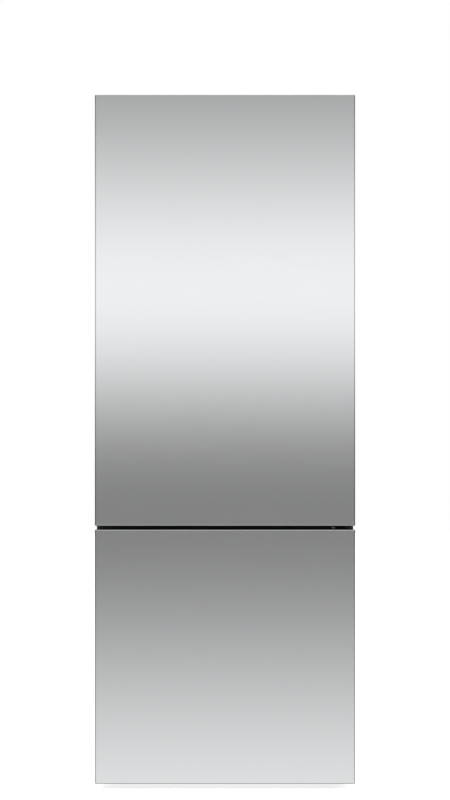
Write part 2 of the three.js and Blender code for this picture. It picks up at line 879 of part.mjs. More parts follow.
function airDuct() {
  const z0 = fridgeFloor + ductFoot;
  const z1 = fridgeCeiling - ductHead;
  const front = fridgeBack - ductDepth - seat;
  const half = ductWidth / 2;
  const outer = prism('z', roundRect(-half, half, front, fridgeBack + ductOverrun, ductCorner),
    z0, z1, 3);
  const rear = block(-half - 1, half + 1, fridgeBack - seat, fridgeBack + ductOverrun + 1, z0 - 1, z1 + 1);
  const inside = block(
    -half + ductWall, half - ductWall,
    front + ductWall, fridgeBack + 1,
    z0 + ductWall, z1 - ductWall,
  );
  let duct = cut(outer, rear, inside);
  for (const level of shelfHeights) {
    for (const side of [-1, 1]) {
      const z = fridgeFloor + level + ventLift;
      const x0 = side > 0 ? ventInset : -ventInset - ventWidth;
      duct = duct.subtract(prism('y', roundRect(x0, x0 + ventWidth, z, z + ventHeight, 4),
        front - 1, front + 4, 2));
    }
  }
  return duct;
}

function lightLens() {
  const front = yCabinet + lensFront;
  const z1 = fridgeCeiling - seat;
  return prism(
    'z',
    roundRect(-lensWidth / 2, lensWidth / 2, front, front + lensDepth, 12),
    z1 - lensThick, z1, 4,
  );
}

const panelZ = fridgeCeiling - seat - panelThick;
const buttonY = yCabinet + panelFront + panelDepth / 2;
const buttonPlaces = Array.from(
  { length: buttonCount },
  (_, i) => (i - (buttonCount - 1) / 2) * buttonSpacing,
);

function controlPanel() {
  const front = yCabinet + panelFront;
  let panel = prism(
    'z',
    roundRect(-panelWidth / 2, panelWidth / 2, front, front + panelDepth, 10),
    panelZ, panelZ + panelThick, 4,
  );
  for (const x of buttonPlaces) {
    panel = panel.subtract(
      rod('z', buttonRadius + loosePlay, panelZ - 1, panelZ + buttonBore, x, buttonY, 20),
    );
  }
  return panel;
}

add(cabinet, 'air_duct', airDuct(), finishes.whiteLiner);
add(cabinet, 'light_lens', lightLens(), finishes.frostedPlastic);
add(cabinet, 'control_panel', controlPanel(), finishes.darkPlastic);
for (const [i, x] of buttonPlaces.entries()) {
  const length = buttonProud + buttonBore - buttonTravel - seat;
  const button = rod('z', buttonRadius, -buttonProud, length - buttonProud, 0, 0, 20);
  add(assembly(cabinet), `control_button_${i + 1}`, button, finishes.greyPlastic,
    [x, buttonY, panelZ]);
}

// ---------------------------------------------------------------- freezer fittings
const fanZ = freezerCeiling - fanDrop;

function spider(axis, ringRadius, hub, from, to, a, b) {
  const pieces = [rod(axis, hub, from, to, a, b)];
  for (let i = 0; i < 3; i += 1) {
    const arm = new THREE.BoxGeometry(ringRadius + 2, 8, to - from);
    arm.translate((ringRadius + 2) / 2, 0, 0);
    arm.rotateZ(Math.PI / 2 + (i * Math.PI * 2) / 3);
    arm.translate(a, b, axis === 'y' ? -(from + to) / 2 : (from + to) / 2);
    arm.applyMatrix4(standing[axis]);
    pieces.push(solidOf(arm));
  }
  return join(...pieces);
}

function evaporatorCover() {
  const half = freezerHalf - skim;
  const z0 = stepTop + skim;
  const z1 = freezerCeiling - skim;
  const mouth = fanRadius + fanMouth;
  let cover = block(-half, half, coverFront, coverBack, z0, z1);
  cover = cover.subtract(rod('y', mouth, coverFront - 1, coverBack + 1, 0, fanZ, 32));
  cover = cover.add(spider('y', mouth, fanHub + 2, coverFront, coverBack, 0, fanZ));
  cover = cover.add(rod('y', fanPin, coverBack - 1, coverBack + fanLength - 2, 0, fanZ, 16));
  for (const side of [-1, 1]) {
    for (let row = 0; row < 3; row += 1) {
      const z = z0 + (row + 1) * grillePitch;
      const x0 = side > 0 ? grilleInset : -grilleInset - grilleWidth;
      cover = cover.subtract(block(x0, x0 + grilleWidth, coverFront - 1, coverBack + 1,
        z, z + grilleHeight));
    }
  }
  // the panel is screwed to two posts that reach the liner's back wall
  for (const x of [-half + coverPostSide, half - coverPostSide]) {
    cover = cover.add(rod('y', coverPost, coverBack - 1, freezerBack - seat, x, fanZ, 12));
  }
  return cover;
}

function evaporatorFan() {
  const wheel = geometryOf(rotor({
    hub: fanHub, tip: fanRadius, length: fanLength, blades: 5, bore: fanPin + running,
  }));
  wheel.rotateX(-Math.PI / 2);
  return solidOf(wheel);
}

function evaporator() {
  const half = freezerHalf - coilSideGap;
  return finBlock({
    x0: -half, x1: half,
    y0: coverBack + coilCoverGap, y1: freezerBack - seat,
    z0: stepTop + coilLift, z1: stepTop + coilLift + coilHeight,
    fins: 7, rows: 3, columns: 1,
    tube: coilTube, endPlate: finThick, endFoot: stepTop + seat,
  });
}

function freezerDrawer(drawerDepth, height) {
  const half = freezerHalf - drawerSideGap;
  const body = tray(-half, half, 0, drawerDepth, height, drawerWall, drawerWall);
  const lip = block(-half + skim, half - skim, -drawerLip, 1,
    height - skim - drawerLipThick, height - skim);
  const z0 = height - drawerFlangeDrop;
  const z1 = z0 + drawerFlangeThick;
  const reach = half + drawerFlange;
  const left = block(-reach, -half + 1, drawerLip, drawerDepth, z0, z1);
  const right = block(half - 1, reach, drawerLip, drawerDepth, z0, z1);
  return join(body, lip, left, right);
}

for (const [key, level] of Object.entries(drawerLevels)) {
  const drawerDepth = key === 'bottom' ? shortDrawerDepth : longDrawerDepth;
  add(assembly(cabinet), `freezer_drawer_${key}`,
    freezerDrawer(drawerDepth, drawerHeights[key]), finishes.frostedPlastic,
    [0, yCabinet + drawerFront, freezerFloor + level]);
}

const trayX = -freezerHalf + trayFromWall;
const trayZ = freezerCeiling - trayDrop;
const trayFrontY = yCabinet + trayFront;

function iceTrayFrame() {
  const inner = Math.hypot(trayHalf, trayDown) + 1;
  const outer = inner + trayFrameWall;
  const y0 = trayFrontY - trayGap - trayFrameWall;
  const y1 = trayFrontY + trayLength + trayGap + trayFrameWall;
  const z0 = trayZ - 12;
  const z1 = freezerCeiling - seat;
  const frame = cut(
    block(trayX - outer, trayX + outer, y0, y1, z0, z1),
    block(trayX - inner, trayX + inner, y0 + trayFrameWall, y1 - trayFrameWall,
      z0 - 1, z1 + 1),
  );
  return frame.subtract(rod('y', trayPin + loosePlay, y0 - 1, y1 + 1, trayX, trayZ, 16));
}

// cells in two rows; local origin on the twist axis at the tray's front
function iceTray() {
  let body = block(-trayHalf, trayHalf, 0, trayLength, -trayDown, trayUp);
  const pitch = (trayLength - trayWall) / trayCells;
  for (let i = 0; i < trayCells; i += 1) {
    for (const x0 of [-trayHalf + trayWall, trayWall / 2]) {
      const x1 = x0 + trayHalf - trayWall * 1.5;
      const y0 = trayWall + i * pitch;
      body = body.subtract(
        block(x0, x1, y0, y0 + pitch - trayWall, -trayDown + trayWall, trayUp + 1),
      );
    }
  }
  const reach = trayGap + trayFrameWall;
  const front = rod('y', trayPin, -reach - 4, 1, 0, 0, 16);
  const back = rod('y', trayPin, trayLength - 1, trayLength + reach, 0, 0, 16);
  const knob = rod('y', trayKnob, -reach - 10, -reach - 1, 0, 0, 20);
  const fin = block(-3, 3, -reach - 18, -reach - 8, -trayKnob, trayKnob);
  return join(body, front, back, knob, fin);
}

add(cabinet, 'evaporator_cover', evaporatorCover(), finishes.whiteLiner);
add(cabinet, 'evaporator', evaporator(), finishes.aluminium);
add(assembly(cabinet), 'evaporator_fan', evaporatorFan(), finishes.darkPlastic,
  [0, coverBack + 1, fanZ]);
add(cabinet, 'ice_tray_frame', iceTrayFrame(), finishes.whiteLiner);
add(assembly(cabinet), 'ice_tray', iceTray(), finishes.frostedPlastic,
  [trayX, trayFrontY, trayZ]);

// ---------------------------------------------------------------- machine room
const roomFloor = cabinetLift + baseSheet + seat;
const machineY = yRear - machineBack;

function compressor() {
  const radius = compressorRadius;
  const tall = compressorHeight;
  const band = tall * 0.45;
  const dome = new THREE.LatheGeometry(
    [
      [0, 0],
      [radius - domeFootInset, 0],
      [radius - domeHeelInset, domeHeelRise],
      [radius, domeFootRise],
      [radius, band],
      [radius + compressorBand, band],
      [radius + compressorBand, band + compressorBandTall],
      [radius, band + compressorBandTall],
      [radius, tall - domeCrownDrop],
      [radius - domeShoulderInset, tall - domeShoulderDrop],
      [radius - domeTopInset, tall - domeTopDrop],
      [0, tall],
    ].map(([r, z]) => new THREE.Vector2(r, z)),
    32,
  );
  dome.rotateX(Math.PI / 2);
  dome.translate(0, 0, grommetHeight + 3);
  const base = block(
    -compressorBase, compressorBase,
    -compressorBaseDepth, compressorBaseDepth,
    grommetHeight, grommetHeight + compressorBaseThick,
  );
  let body = join(solidOf(dome), base);
  const cornerX = compressorBase - grommetInset;
  const cornerY = compressorBaseDepth - grommetInset;
  for (const x of [-cornerX, cornerX]) {
    for (const y of [-cornerY, cornerY]) {
      body = body.add(rod('z', grommetRadius, 0, grommetHeight + 1, x, y, 14));
    }
  }
  const terminalBox = block(radius - 10, radius + terminalReach, -terminalHalf, terminalHalf,
    terminalFoot, terminalFoot + terminalHeight);
  const stubTop = tall + stubRise;
  const suction = rod('z', suctionRadius, tall - 30, stubTop, -stubX, stubY, 12);
  const discharge = rod('z', dischargeRadius, tall - 30, stubTop, -stubX, -stubY, 12);
  return join(body, terminalBox, suction, discharge);
}

const condenserX1 = halfWidth - condenserSide;
const condenserX0 = condenserX1 - condenserLength;
const condenserZ0 = cabinetLift + condenserLift;
const condenserY0 = machineY - condenserDepth / 2;
const condenserY1 = machineY + condenserDepth / 2;
const condenserFanZ = cabinetLift + condenserFanLift;

function condenser() {
  const face = condenserX0 + finThick;
  let coil = finBlock({
    x0: condenserX0, x1: condenserX1, y0: condenserY0, y1: condenserY1,
    z0: condenserZ0, z1: condenserZ0 + condenserHeight,
    fins: 6, rows: 3, columns: 2,
    tube: coilTube, endPlate: finThick, endFoot: roomFloor,
  });
  // the first plate is the fan's shroud, with the motor's boss and shaft
  const ring = condenserFanRadius + fanMouth;
  coil = coil.subtract(
    rod('x', ring, condenserX0 - 1, face + 1, machineY, condenserFanZ, 32),
  );
  coil = coil.add(
    spider('x', ring, condenserBoss, condenserX0, face, machineY, condenserFanZ),
  );
  return coil.add(rod('x', fanPin, condenserX0 - condenserShaft, condenserX0 + 1,
    machineY, condenserFanZ, 16));
}

function condenserFan() {
  const wheel = geometryOf(rotor({
    hub: condenserFanHub, tip: condenserFanRadius, length: condenserFanLength,
    blades: 5, bore: fanPin + running,
  }));
  wheel.rotateY(-Math.PI / 2);
  return solidOf(wheel);
}

function drainPan() {
  return tray(condenserX0 + panInset, condenserX1 - panInset,
    condenserY0 + panSideInset, condenserY1 - panSideInset, panHeight, panWall, panWall);
}

function controlBox() {
  const x0 = -controlBoxLeft;
  const y0 = roomFront + seat;
  const z0 = roomFloor + controlBoxLift;
  return prism('y', roundRect(x0, x0 + controlBoxWidth, z0, z0 + controlBoxHeight, 6),
    y0, y0 + controlBoxDepth, 3);
}

add(cabinet, 'compressor', compressor(), finishes.blackEnamel,
  [compressorSide - halfWidth, machineY, roomFloor]);
add(cabinet, 'condenser', condenser(), finishes.darkSteel);
add(assembly(cabinet), 'condenser_fan', condenserFan(), finishes.darkPlastic,
  [condenserX0 - condenserFanGap, machineY, condenserFanZ]);
add(cabinet, 'drain_pan', drainPan(), finishes.greyPlastic, [0, 0, roomFloor]);
add(cabinet, 'control_box', controlBox(), finishes.darkPlastic);

// ---------------------------------------------------------------- floor
for (const [side, name] of [[-1, 'left'], [1, 'right']]) {
  const roller = cut(
    rod('x', rollerRadius, -rollerWidth / 2, rollerWidth / 2, 0, 0, 32),
    rod('x', axleRadius + running, -rollerWidth, rollerWidth, 0, 0, 16),
  );
  add(assembly(cabinet), `rear_roller_${name}`, roller, finishes.rubber,
    [side * (halfWidth - rollerSide), yRear - rollerBack, rollerRadius + seat]);
  const foot = join(
    rod('z', footRadius, 0, footPad, 0, 0, 28),
    rod('z', studRadius, footPad - 1, cabinetLift + baseSheet - skim, 0, 0, 18),
    rod('z', nutRadius, footPad - 1, footPad + nutHeight, 0, 0, 6),
  );
  add(assembly(cabinet), `levelling_foot_${name}`, foot, finishes.darkPlastic,
    [side * (halfWidth - footSide), yFront + footFront, 0]);
}

// ---------------------------------------------------------------- doors
// the corner of a door that stays clear of a hinge plate set into its end
function hingeNotch(z0, z1) {
  return block(
    hingeX - hingeTongue - 3, halfWidth + 1,
    hingeY - hingeTongue * 2 - 1, yDoorBack + 1,
    z0, z1,
  );
}

function doorPlan(x0, x1, y0, y1, radius) {
  const outline = new THREE.Shape();
  outline.moveTo(x0, y1);
  outline.lineTo(x0, y0 + radius);
  outline.absarc(x0 + radius, y0 + radius, radius, Math.PI, Math.PI * 1.5);
  outline.lineTo(x1 - radius, y0);
  outline.absarc(x1 - radius, y0 + radius, radius, Math.PI * 1.5, Math.PI * 2);
  outline.lineTo(x1, y1);
  return outline;
}

const coreRadius = skinRadius - skinSheet - seat;
const coreFront = yFront + skinSheet + seat;
const coreBack = doorLinerFace - seat;

function doorSkin(z0, z1, notch) {
  const outer = prism('z',
    doorPlan(-halfWidth, halfWidth, yFront, yDoorBack - skinBackGap, skinRadius), z0, z1);
  const inner = prism('z',
    doorPlan(-shellInner, shellInner, yFront + skinSheet, yDoorBack, skinRadius - skinSheet),
    z0 - 1, z1 + 1);
  const freeEdge = block(-halfWidth - 1, -halfWidth + 10, yFront + gripLip, yDoorBack,
    z0 - 1, z1 + 1);
  return cut(outer, inner, freeEdge, notch);
}

function doorCap(z0, z1, notch, bore) {
  const cap = prism('z', doorPlan(-coreHalf, coreHalf, coreFront, coreBack, coreRadius), z0, z1);
  return cut(cap, notch, bore);
}

function gripStrip(z0, z1) {
  const x0 = -halfWidth + seat;
  const y0 = yFront + gripLip + seat;
  const outer = block(x0, x0 + gripDepth, y0, y0 + gripWidth, z0, z1);
  const channel = block(
    x0 - 1, x0 + gripDepth - gripWall,
    y0 + gripWall, y0 + gripWidth - gripWall,
    z0 - 1, z1 + 1,
  );
  return cut(outer, channel);
}

function dykeRing(dyke, inset) {
  const outer = prism('y',
    roundRect(-dyke.half + inset, dyke.half - inset, dyke.z0 + inset, dyke.z1 - inset,
      14 - inset),
    doorLinerFace - (inset ? seat * 2 : 0), yDoorBack + dyke.rise - inset, 4);
  const width = dykeWidth - inset;
  const inner = prism('y',
    roundRect(-dyke.half + width, dyke.half - width, dyke.z0 + width, dyke.z1 - width, 8),
    doorLinerFace - 5, yDoorBack + dyke.rise + 5, 4);
  return cut(outer, inner);
}

function doorFoam(z0, z1, dyke) {
  const core = prism('z', doorPlan(-coreHalf, coreHalf, coreFront, coreBack, coreRadius), z0, z1);
  const y0 = yFront + gripLip;
  const channel = block(
    -halfWidth - 1, -halfWidth + seat * 2 + gripDepth,
    y0, y0 + gripWidth + seat * 2,
    z0 - 1, z1 + 1,
  );
  return cut(core, channel).add(dykeRing(dyke, doorLinerSheet + seat));
}

function doorLiner(z0, z1, dyke, notch, bosses) {
  const half = halfWidth - doorLinerInset;
  const plate = prism('y',
    roundRect(-half, half, z0 + doorLinerInset, z1 - doorLinerInset, 6),
    doorLinerFace, yDoorBack, 3);
  const hollow = dykeRing(dyke, doorLinerSheet);
  let liner = cut(join(plate, dykeRing(dyke, 0)), hollow, notch);
  for (const boss of bosses) liner = liner.add(boss);
  return liner;
}

function gasketRing(z0, z1) {
  const half = halfWidth - gasketInset;
  const y0 = yDoorBack + seat;
  const y1 = yCabinet - seat;
  const outer = prism('y', roundRect(-half, half, z0, z1, 6), y0, y1, 3);
  const inner = prism('y',
    roundRect(-half + gasketWidth, half - gasketWidth, z0 + gasketWidth, z1 - gasketWidth, 3),
    y0 - 1, y1 + 1, 3);
  return cut(outer, inner);
}

// bins hang by ledges on bosses that stand out of the fridge door's dykes
const binLedge = { y0: 8, y1: 38, drop: 30, thick: 6, boss: 10 };
const fridgeDyke = {
  half: fridgeHalf - dykeGap,
  z0: fridgeFloor + dykeGap,
  z1: fridgeCeiling - dykeGap,
  rise: fridgeDykeRise,
};
const freezerDyke = {
  half: freezerHalf - dykeGap,
  z0: freezerFloor + dykeGap,
  z1: freezerCeiling - dykeGap,
  rise: freezerDykeRise,
};
const dykeInner = fridgeDyke.half - dykeWidth;
const binHalf = dykeInner - binSideGap;

function binBosses() {
  const bosses = [];
  for (const [key, level] of Object.entries(binLevels)) {
    const top = fridgeDyke.z0 + level + binHeights[key] - binLedge.drop - seat;
    for (const side of [-1, 1]) {
      const near = side * (dykeInner - binSideGap + 2);
      const far = side * (dykeInner + 1);
      bosses.push(block(
        Math.min(near, far), Math.max(near, far),
        yDoorBack + binLedge.y0 + 2, yDoorBack + binLedge.y1 - 2,
        top - binLedge.boss, top,
      ));
    }
  }
  return bosses;
}

const lidPivot = { y: 14, rise: 6, radius: 4, pin: 2 };

// local origin: middle of the door, at the door's inner face, at the bin's underside
function doorBin(height, withEars) {
  const body = cut(
    block(-binHalf, binHalf, 1, 1 + binDepth, 0, height),
    block(-binHalf + binWall, binHalf - binWall, 1 + binWall, 1 + binDepth - binWall,
      3, height + 1),
  );
  const z0 = height - binLedge.drop;
  const reach = dykeInner - 2;
  let bin = body;
  for (const side of [-1, 1]) {
    const near = side * (binHalf - 1);
    const far = side * reach;
    bin = bin.add(block(
      Math.min(near, far), Math.max(near, far),
      binLedge.y0, binLedge.y1, z0, z0 + binLedge.thick,
    ));
    if (withEars) {
      const inside = side * (binHalf - 4.5);
      const outside = side * binHalf;
      bin = bin.add(block(
        Math.min(inside, outside), Math.max(inside, outside),
        lidPivot.y - 7, lidPivot.y + 7, height - 4, height + lidPivot.rise + 6,
      ));
    }
  }
  if (withEars) {
    bin = bin.subtract(
      rod('x', lidPivot.pin + loosePlay, -binHalf - 1, binHalf + 1, lidPivot.y,
        height + lidPivot.rise, 12),
    );
  }
  return bin;
}

// local origin on the lid's pivot
function dairyLid() {
  const half = binHalf - 7;
  const reach = 1 + binDepth + 1.5 - lidPivot.y;
  const top = lidPivot.radius;
  const plate = block(-half, half, 0, reach + lidThick, top - lidThick, top);
  const flap = block(-half, half, reach, reach + lidThick, top - lidFlap, top);
  const barrel = rod('x', lidPivot.radius, -half, half, 0, 0, 14);
  const pin = rod('x', lidPivot.pin, -binHalf + 1, binHalf - 1, 0, 0, 12);
  return join(plate, flap, barrel, pin);
}

function door(name, z0, z1, dyke, hinges, bosses, gasketSpan) {
  const group = assembly();
  const capTop = z1 - capHeight;
  const capBottom = z0 + capHeight;
  const notch = join(...hinges.notches);
  add(group, `${name}_skin`, doorSkin(z0, z1, notch), finishes.brushedSteel);
  add(group, `${name}_top_cap`, doorCap(capTop, z1, notch, hinges.topBore),
    finishes.darkPlastic);
  add(group, `${name}_bottom_cap`, doorCap(z0, capBottom, notch, hinges.bottomBore),
    finishes.darkPlastic);
  add(group, `${name}_grip`, gripStrip(capBottom + seat, capTop - seat), finishes.darkPlastic);
  add(group, `${name}_foam`, doorFoam(capBottom + seat, capTop - seat, dyke), finishes.foam);
  add(group, `${name}_liner`, doorLiner(z0, z1, dyke, notch, bosses), finishes.whiteLiner);
  add(group, `${name}_gasket`, gasketRing(...gasketSpan), finishes.gasket);
  return group;
}

function bore(z0, z1) {
  return rod('z', pinRadius + running, z0, z1, hingeX, hingeY);
}

const recessFloor = topPlateZ - hingeClear - 0.5;
const recessRoof = bottomPlateZ + hingePlate + hingeClear;

const upperDoor = door('upper_door', zUpper, zTop, fridgeDyke, {
  notches: [hingeNotch(recessFloor, zTop + 1)],
  topBore: bore(topPlateZ - pinLength - hingeClear - 2, zTop),
  bottomBore: bore(zUpper - 1, zDivider + pinLength + hingeClear + 2),
}, binBosses(), [
  zDivider + hingeFlange / 2 + 1.5, cabinetTop - shellFlange + 4 + gasketWidth,
]);

door('lower_door', zLower, zLowerTop, freezerDyke, {
  notches: [hingeNotch(zLower - 1, recessRoof)],
  topBore: bore(zDivider - pinLength - hingeClear - 2, zLowerTop + 1),
  bottomBore: bore(zLower - 1, recessRoof + pinLength + 2),
}, [], [gasketFoot, zDivider - hingeFlange / 2 - 1.5]);

for (const [key, level] of Object.entries(binLevels)) {
  const bin = assembly(upperDoor);
  bin.position.set(0, yDoorBack, fridgeDyke.z0 + level);
  add(bin, `${key}_bin`, doorBin(binHeights[key], key === 'dairy'), finishes.clearPlastic);
  if (key === 'dairy') {
    add(assembly(bin), 'dairy_lid', dairyLid(), finishes.frostedPlastic,
      [0, lidPivot.y, binHeights[key] + lidPivot.rise]);
  }
}

export default refrigerator;
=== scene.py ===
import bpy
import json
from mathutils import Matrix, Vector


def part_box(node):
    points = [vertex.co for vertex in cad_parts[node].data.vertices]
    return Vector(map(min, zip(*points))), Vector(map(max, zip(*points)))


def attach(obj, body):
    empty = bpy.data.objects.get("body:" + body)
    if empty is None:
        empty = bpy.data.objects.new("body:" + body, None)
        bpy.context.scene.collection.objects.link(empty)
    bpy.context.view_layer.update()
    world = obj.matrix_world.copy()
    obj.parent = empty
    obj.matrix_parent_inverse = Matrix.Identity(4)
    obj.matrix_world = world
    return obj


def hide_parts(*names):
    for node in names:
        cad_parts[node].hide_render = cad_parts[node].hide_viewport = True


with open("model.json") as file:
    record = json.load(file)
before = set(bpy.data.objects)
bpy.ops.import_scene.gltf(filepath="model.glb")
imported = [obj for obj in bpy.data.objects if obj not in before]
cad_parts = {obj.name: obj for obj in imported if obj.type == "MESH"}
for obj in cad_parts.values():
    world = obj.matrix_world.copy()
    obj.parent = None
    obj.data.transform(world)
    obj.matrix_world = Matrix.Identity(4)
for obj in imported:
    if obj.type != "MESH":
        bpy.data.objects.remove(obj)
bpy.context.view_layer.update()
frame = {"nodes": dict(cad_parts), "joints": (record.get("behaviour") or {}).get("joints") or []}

import json
import math

import bmesh
import bpy
from mathutils import Vector

scene = bpy.context.scene
scene.view_settings.view_transform = "Standard"
print("frame loaded:", len(frame["nodes"]), "nodes")


# small tools: every size below is in millimetres and becomes metres here
def mm(value):
    return value / 1000


def linearColor(hexText):
    parts = [int(hexText[i:i + 2], 16) / 255 for i in (1, 3, 5)]
    return [p / 12.92 if p <= 0.04045 else ((p + 0.055) / 1.055) ** 2.4 for p in parts] + [1]


def addNode(tree, kind, settings=None, links=None):
    node = tree.nodes.new(kind)
    for key, value in (settings or {}).items():
        if isinstance(key, int) or key in node.inputs:
            node.inputs[key].default_value = value
        else:
            setattr(node, key, value)
    for key, socket in (links or {}).items():
        tree.links.new(socket, node.inputs[key])
    return node


def startMaterial(name, color, settings):
    material = bpy.data.materials.new(name)
    material.use_nodes = True
    shader = material.node_tree.nodes["Principled BSDF"]
    shader.inputs["Base Color"].default_value = linearColor(color)
    for key, value in settings.items():
        shader.inputs[key].default_value = value
    where = addNode(material.node_tree, "ShaderNodeTexCoord")
    return material, material.node_tree, shader, where


def nodeBox(name):
    low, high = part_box(name)
    return [round(v * 1000, 3) for v in low], [round(v * 1000, 3) for v in high]


# where a joint's axis runs, in mm
def jointSpot(name):
    joint = next(j for j in frame["joints"] if j["name"] == name)
    return [v * 1000 for v in joint["pos_m"]]


# points along an arc between two angles in degrees
def arc(a, b, radius, start, end, count):
    turns = [math.radians(start + (end - start) * i / count) for i in range(count + 1)]
    return [(a + radius * math.cos(turn), b + radius * math.sin(turn)) for turn in turns]


# a rounded rectangle in the plane across one axis, always with the same number of points
def rectLoop(axis, level, a0, a1, b0, b1, radius, steps=5):
    r = max(min(radius, (a1 - a0) / 2, (b1 - b0) / 2), 0.01)
    corners = [(a1 - r, b0 + r, -90), (a1 - r, b1 - r, 0), (a0 + r, b1 - r, 90),
               (a0 + r, b0 + r, 180)]
    return [onAxis(axis, level, *point) for a, b, start in corners
            for point in arc(a, b, r, start, start + 90, steps)]


def circleLoop(axis, level, a, b, radius, steps=24):
    return [onAxis(axis, level, *point) for point in arc(a, b, radius, 0, 360, steps)[:-1]]


def onAxis(axis, level, a, b):
    return {"x": (level, a, b), "y": (a, level, b), "z": (a, b, level)}[axis]


# joins loops of points into one skin, closed at both ends unless it is a ring or an open sheet
def skinLoops(bm, loops, ring=False, caps=True, openPath=False):
    rows = [[bm.verts.new([mm(v) for v in point]) for point in loop] for loop in loops]
    pairs = list(zip(rows, rows[1:])) + ([(rows[-1], rows[0])] if ring else [])
    count = len(rows[0])
    for low, high in pairs:
        for i in range(count - 1 if openPath else count):
            j = (i + 1) % count
            bm.faces.new((low[i], low[j], high[j], high[i]))
    if caps and not (ring or openPath):
        bm.faces.new(rows[0][::-1])
        bm.faces.new(rows[-1])


# turns an open sheet so that its widest face looks along the given way
def facing(bm, way):
    bmesh.ops.recalc_face_normals(bm, faces=bm.faces)
    widest = max(bm.faces, key=lambda face: face.calc_area() * abs(face.normal.dot(Vector(way))))
    if widest.normal.dot(Vector(way)) < 0:
        bmesh.ops.reverse_faces(bm, faces=bm.faces)


# rounded rectangles stacked along one axis; a level is (level, inset) or (level, inset, radius)
def addStack(bm, axis, sides, levels, radius=0.0, steps=5, ring=False, base=0):
    a0, a1, b0, b1 = sides
    skinLoops(bm, [rectLoop(axis, base + level, a0 + inset, a1 - inset, b0 + inset, b1 - inset,
                            own[0] if own else radius, steps)
                   for level, inset, *own in levels], ring=ring)


def addBar(bm, axis, sides, radius, ends, steps=4):
    addStack(bm, axis, sides, [(level, 0) for level in sorted(ends)], radius, steps)


# a closed block from an outline drawn across one axis, measured from the place at
def addPrism(bm, axis, outline, low, high, at=(0, 0)):
    skinLoops(bm, [[onAxis(axis, level, at[0] + a, at[1] + b) for a, b in outline]
                   for level in (low, high)])


def addBlock(bm, x0, x1, y0, y1, z0, z1):
    addPrism(bm, "z", [(x0, y0), (x1, y0), (x1, y1), (x0, y1)], z0, z1)


def addRod(bm, axis, radius, low, high, a, b, steps=20):
    skinLoops(bm, [circleLoop(axis, level, a, b, radius, steps) for level in (low, high)])


# turns a profile of (radius, level) points about an axis, its levels measured from the base
def addTurned(bm, axis, profile, a, b, steps=32, ring=False, base=0, way=1):
    skinLoops(bm, [circleLoop(axis, base + way * level, a, b, max(radius, 0.01), steps)
                   for radius, level in profile], ring=ring)


# a round tube along points, its corners rounded to the given bend
def addTube(bm, points, radius, bend=0.0, steps=10):
    path = roundedPath([Vector(p) for p in points], bend)
    loops, up = [], None
    for i, point in enumerate(path):
        before = path[max(i - 1, 0)]
        after = path[min(i + 1, len(path) - 1)]
        along = (after - before).normalized()
        if up is None:
            up = along.orthogonal().normalized()
        up = (up - along * up.dot(along)).normalized()
        side = along.cross(up)
        loops.append([point + (up * math.cos(t) + side * math.sin(t)) * radius
                      for t in (2 * math.pi * k / steps for k in range(steps))])
    skinLoops(bm, loops)


def roundedPath(points, bend, steps=6):
    if bend <= 0:
        return points
    path = [points[0]]
    for a, b, c in zip(points, points[1:], points[2:]):
        reach = min(bend, (b - a).length / 2, (c - b).length / 2)
        start = b + (a - b).normalized() * reach
        end = b + (c - b).normalized() * reach
        for i in range(steps + 1):
            t = i / steps
            path.append(start * (1 - t) ** 2 + b * 2 * t * (1 - t) + end * t ** 2)
    path.append(points[-1])
    return path


def settle(piece):
    graph = bpy.context.evaluated_depsgraph_get()
    shape = bpy.data.meshes.new_from_object(piece.evaluated_get(graph))
    piece.modifiers.clear()
    piece.data = shape


# cuts blocks of (low, high) corners, or other tool meshes, out of a closed piece
def carve(piece, boxes=(), shape=None):
    bm = shape or bmesh.new()
    for low, high in boxes:
        addBlock(bm, low[0], high[0], low[1], high[1], low[2], high[2])
    bmesh.ops.recalc_face_normals(bm, faces=bm.faces)
    mesh = bpy.data.meshes.new("cutter")
    bm.to_mesh(mesh)
    bm.free()
    cutter = bpy.data.objects.new("cutter", mesh)
    scene.collection.objects.link(cutter)
    cut = piece.modifiers.new("cut", "BOOLEAN")
    cut.object = cutter
    cut.operation = "DIFFERENCE"
    settle(piece)
    bpy.data.objects.remove(cutter)
    bpy.data.meshes.remove(mesh)


def softenEdges(piece, width, limit):
    piece.data.shade_smooth()
    if width > 0:
        edge = piece.modifiers.new("edge", "BEVEL")
        edge.width = mm(width)
        edge.segments = 2
        edge.limit_method = "ANGLE"
        edge.angle_limit = math.radians(limit)
        edge.harden_normals = True
        edge.miter_outer = "MITER_ARC"
    else:
        piece.data.set_sharp_from_angle(angle=math.radians(limit))
        flat = piece.modifiers.new("flat", "WEIGHTED_NORMAL")
        flat.keep_sharp = True  # wide faces stay flat in their shading


# makes the object with its finish and body, and hides the CAD node it stands for
def makePiece(name, bm, finish, body="cabinet", stands=None, edge=0.0, limit=35, thick=0.0,
              cuts=(), cutter=None, turn=True):
    material, slot = finish
    if turn:
        bmesh.ops.recalc_face_normals(bm, faces=bm.faces)
    mesh = bpy.data.meshes.new(name)
    bm.to_mesh(mesh)
    bm.free()
    piece = bpy.data.objects.new(name, mesh)
    scene.collection.objects.link(piece)
    mesh.materials.append(material)
    if thick:
        sheet = piece.modifiers.new("sheet", "SOLIDIFY")
        sheet.thickness = mm(thick)
        sheet.offset = -1
        sheet.use_even_offset = True
        settle(piece)
    if cuts:
        carve(piece, cuts)
    if cutter:
        softenEdges(piece, 0, 35)  # the faces left by the cut keep this shading
        carve(piece, shape=cutter)
    softenEdges(piece, edge, limit)
    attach(piece, body)
    if stands:
        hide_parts(stands)
    return piece


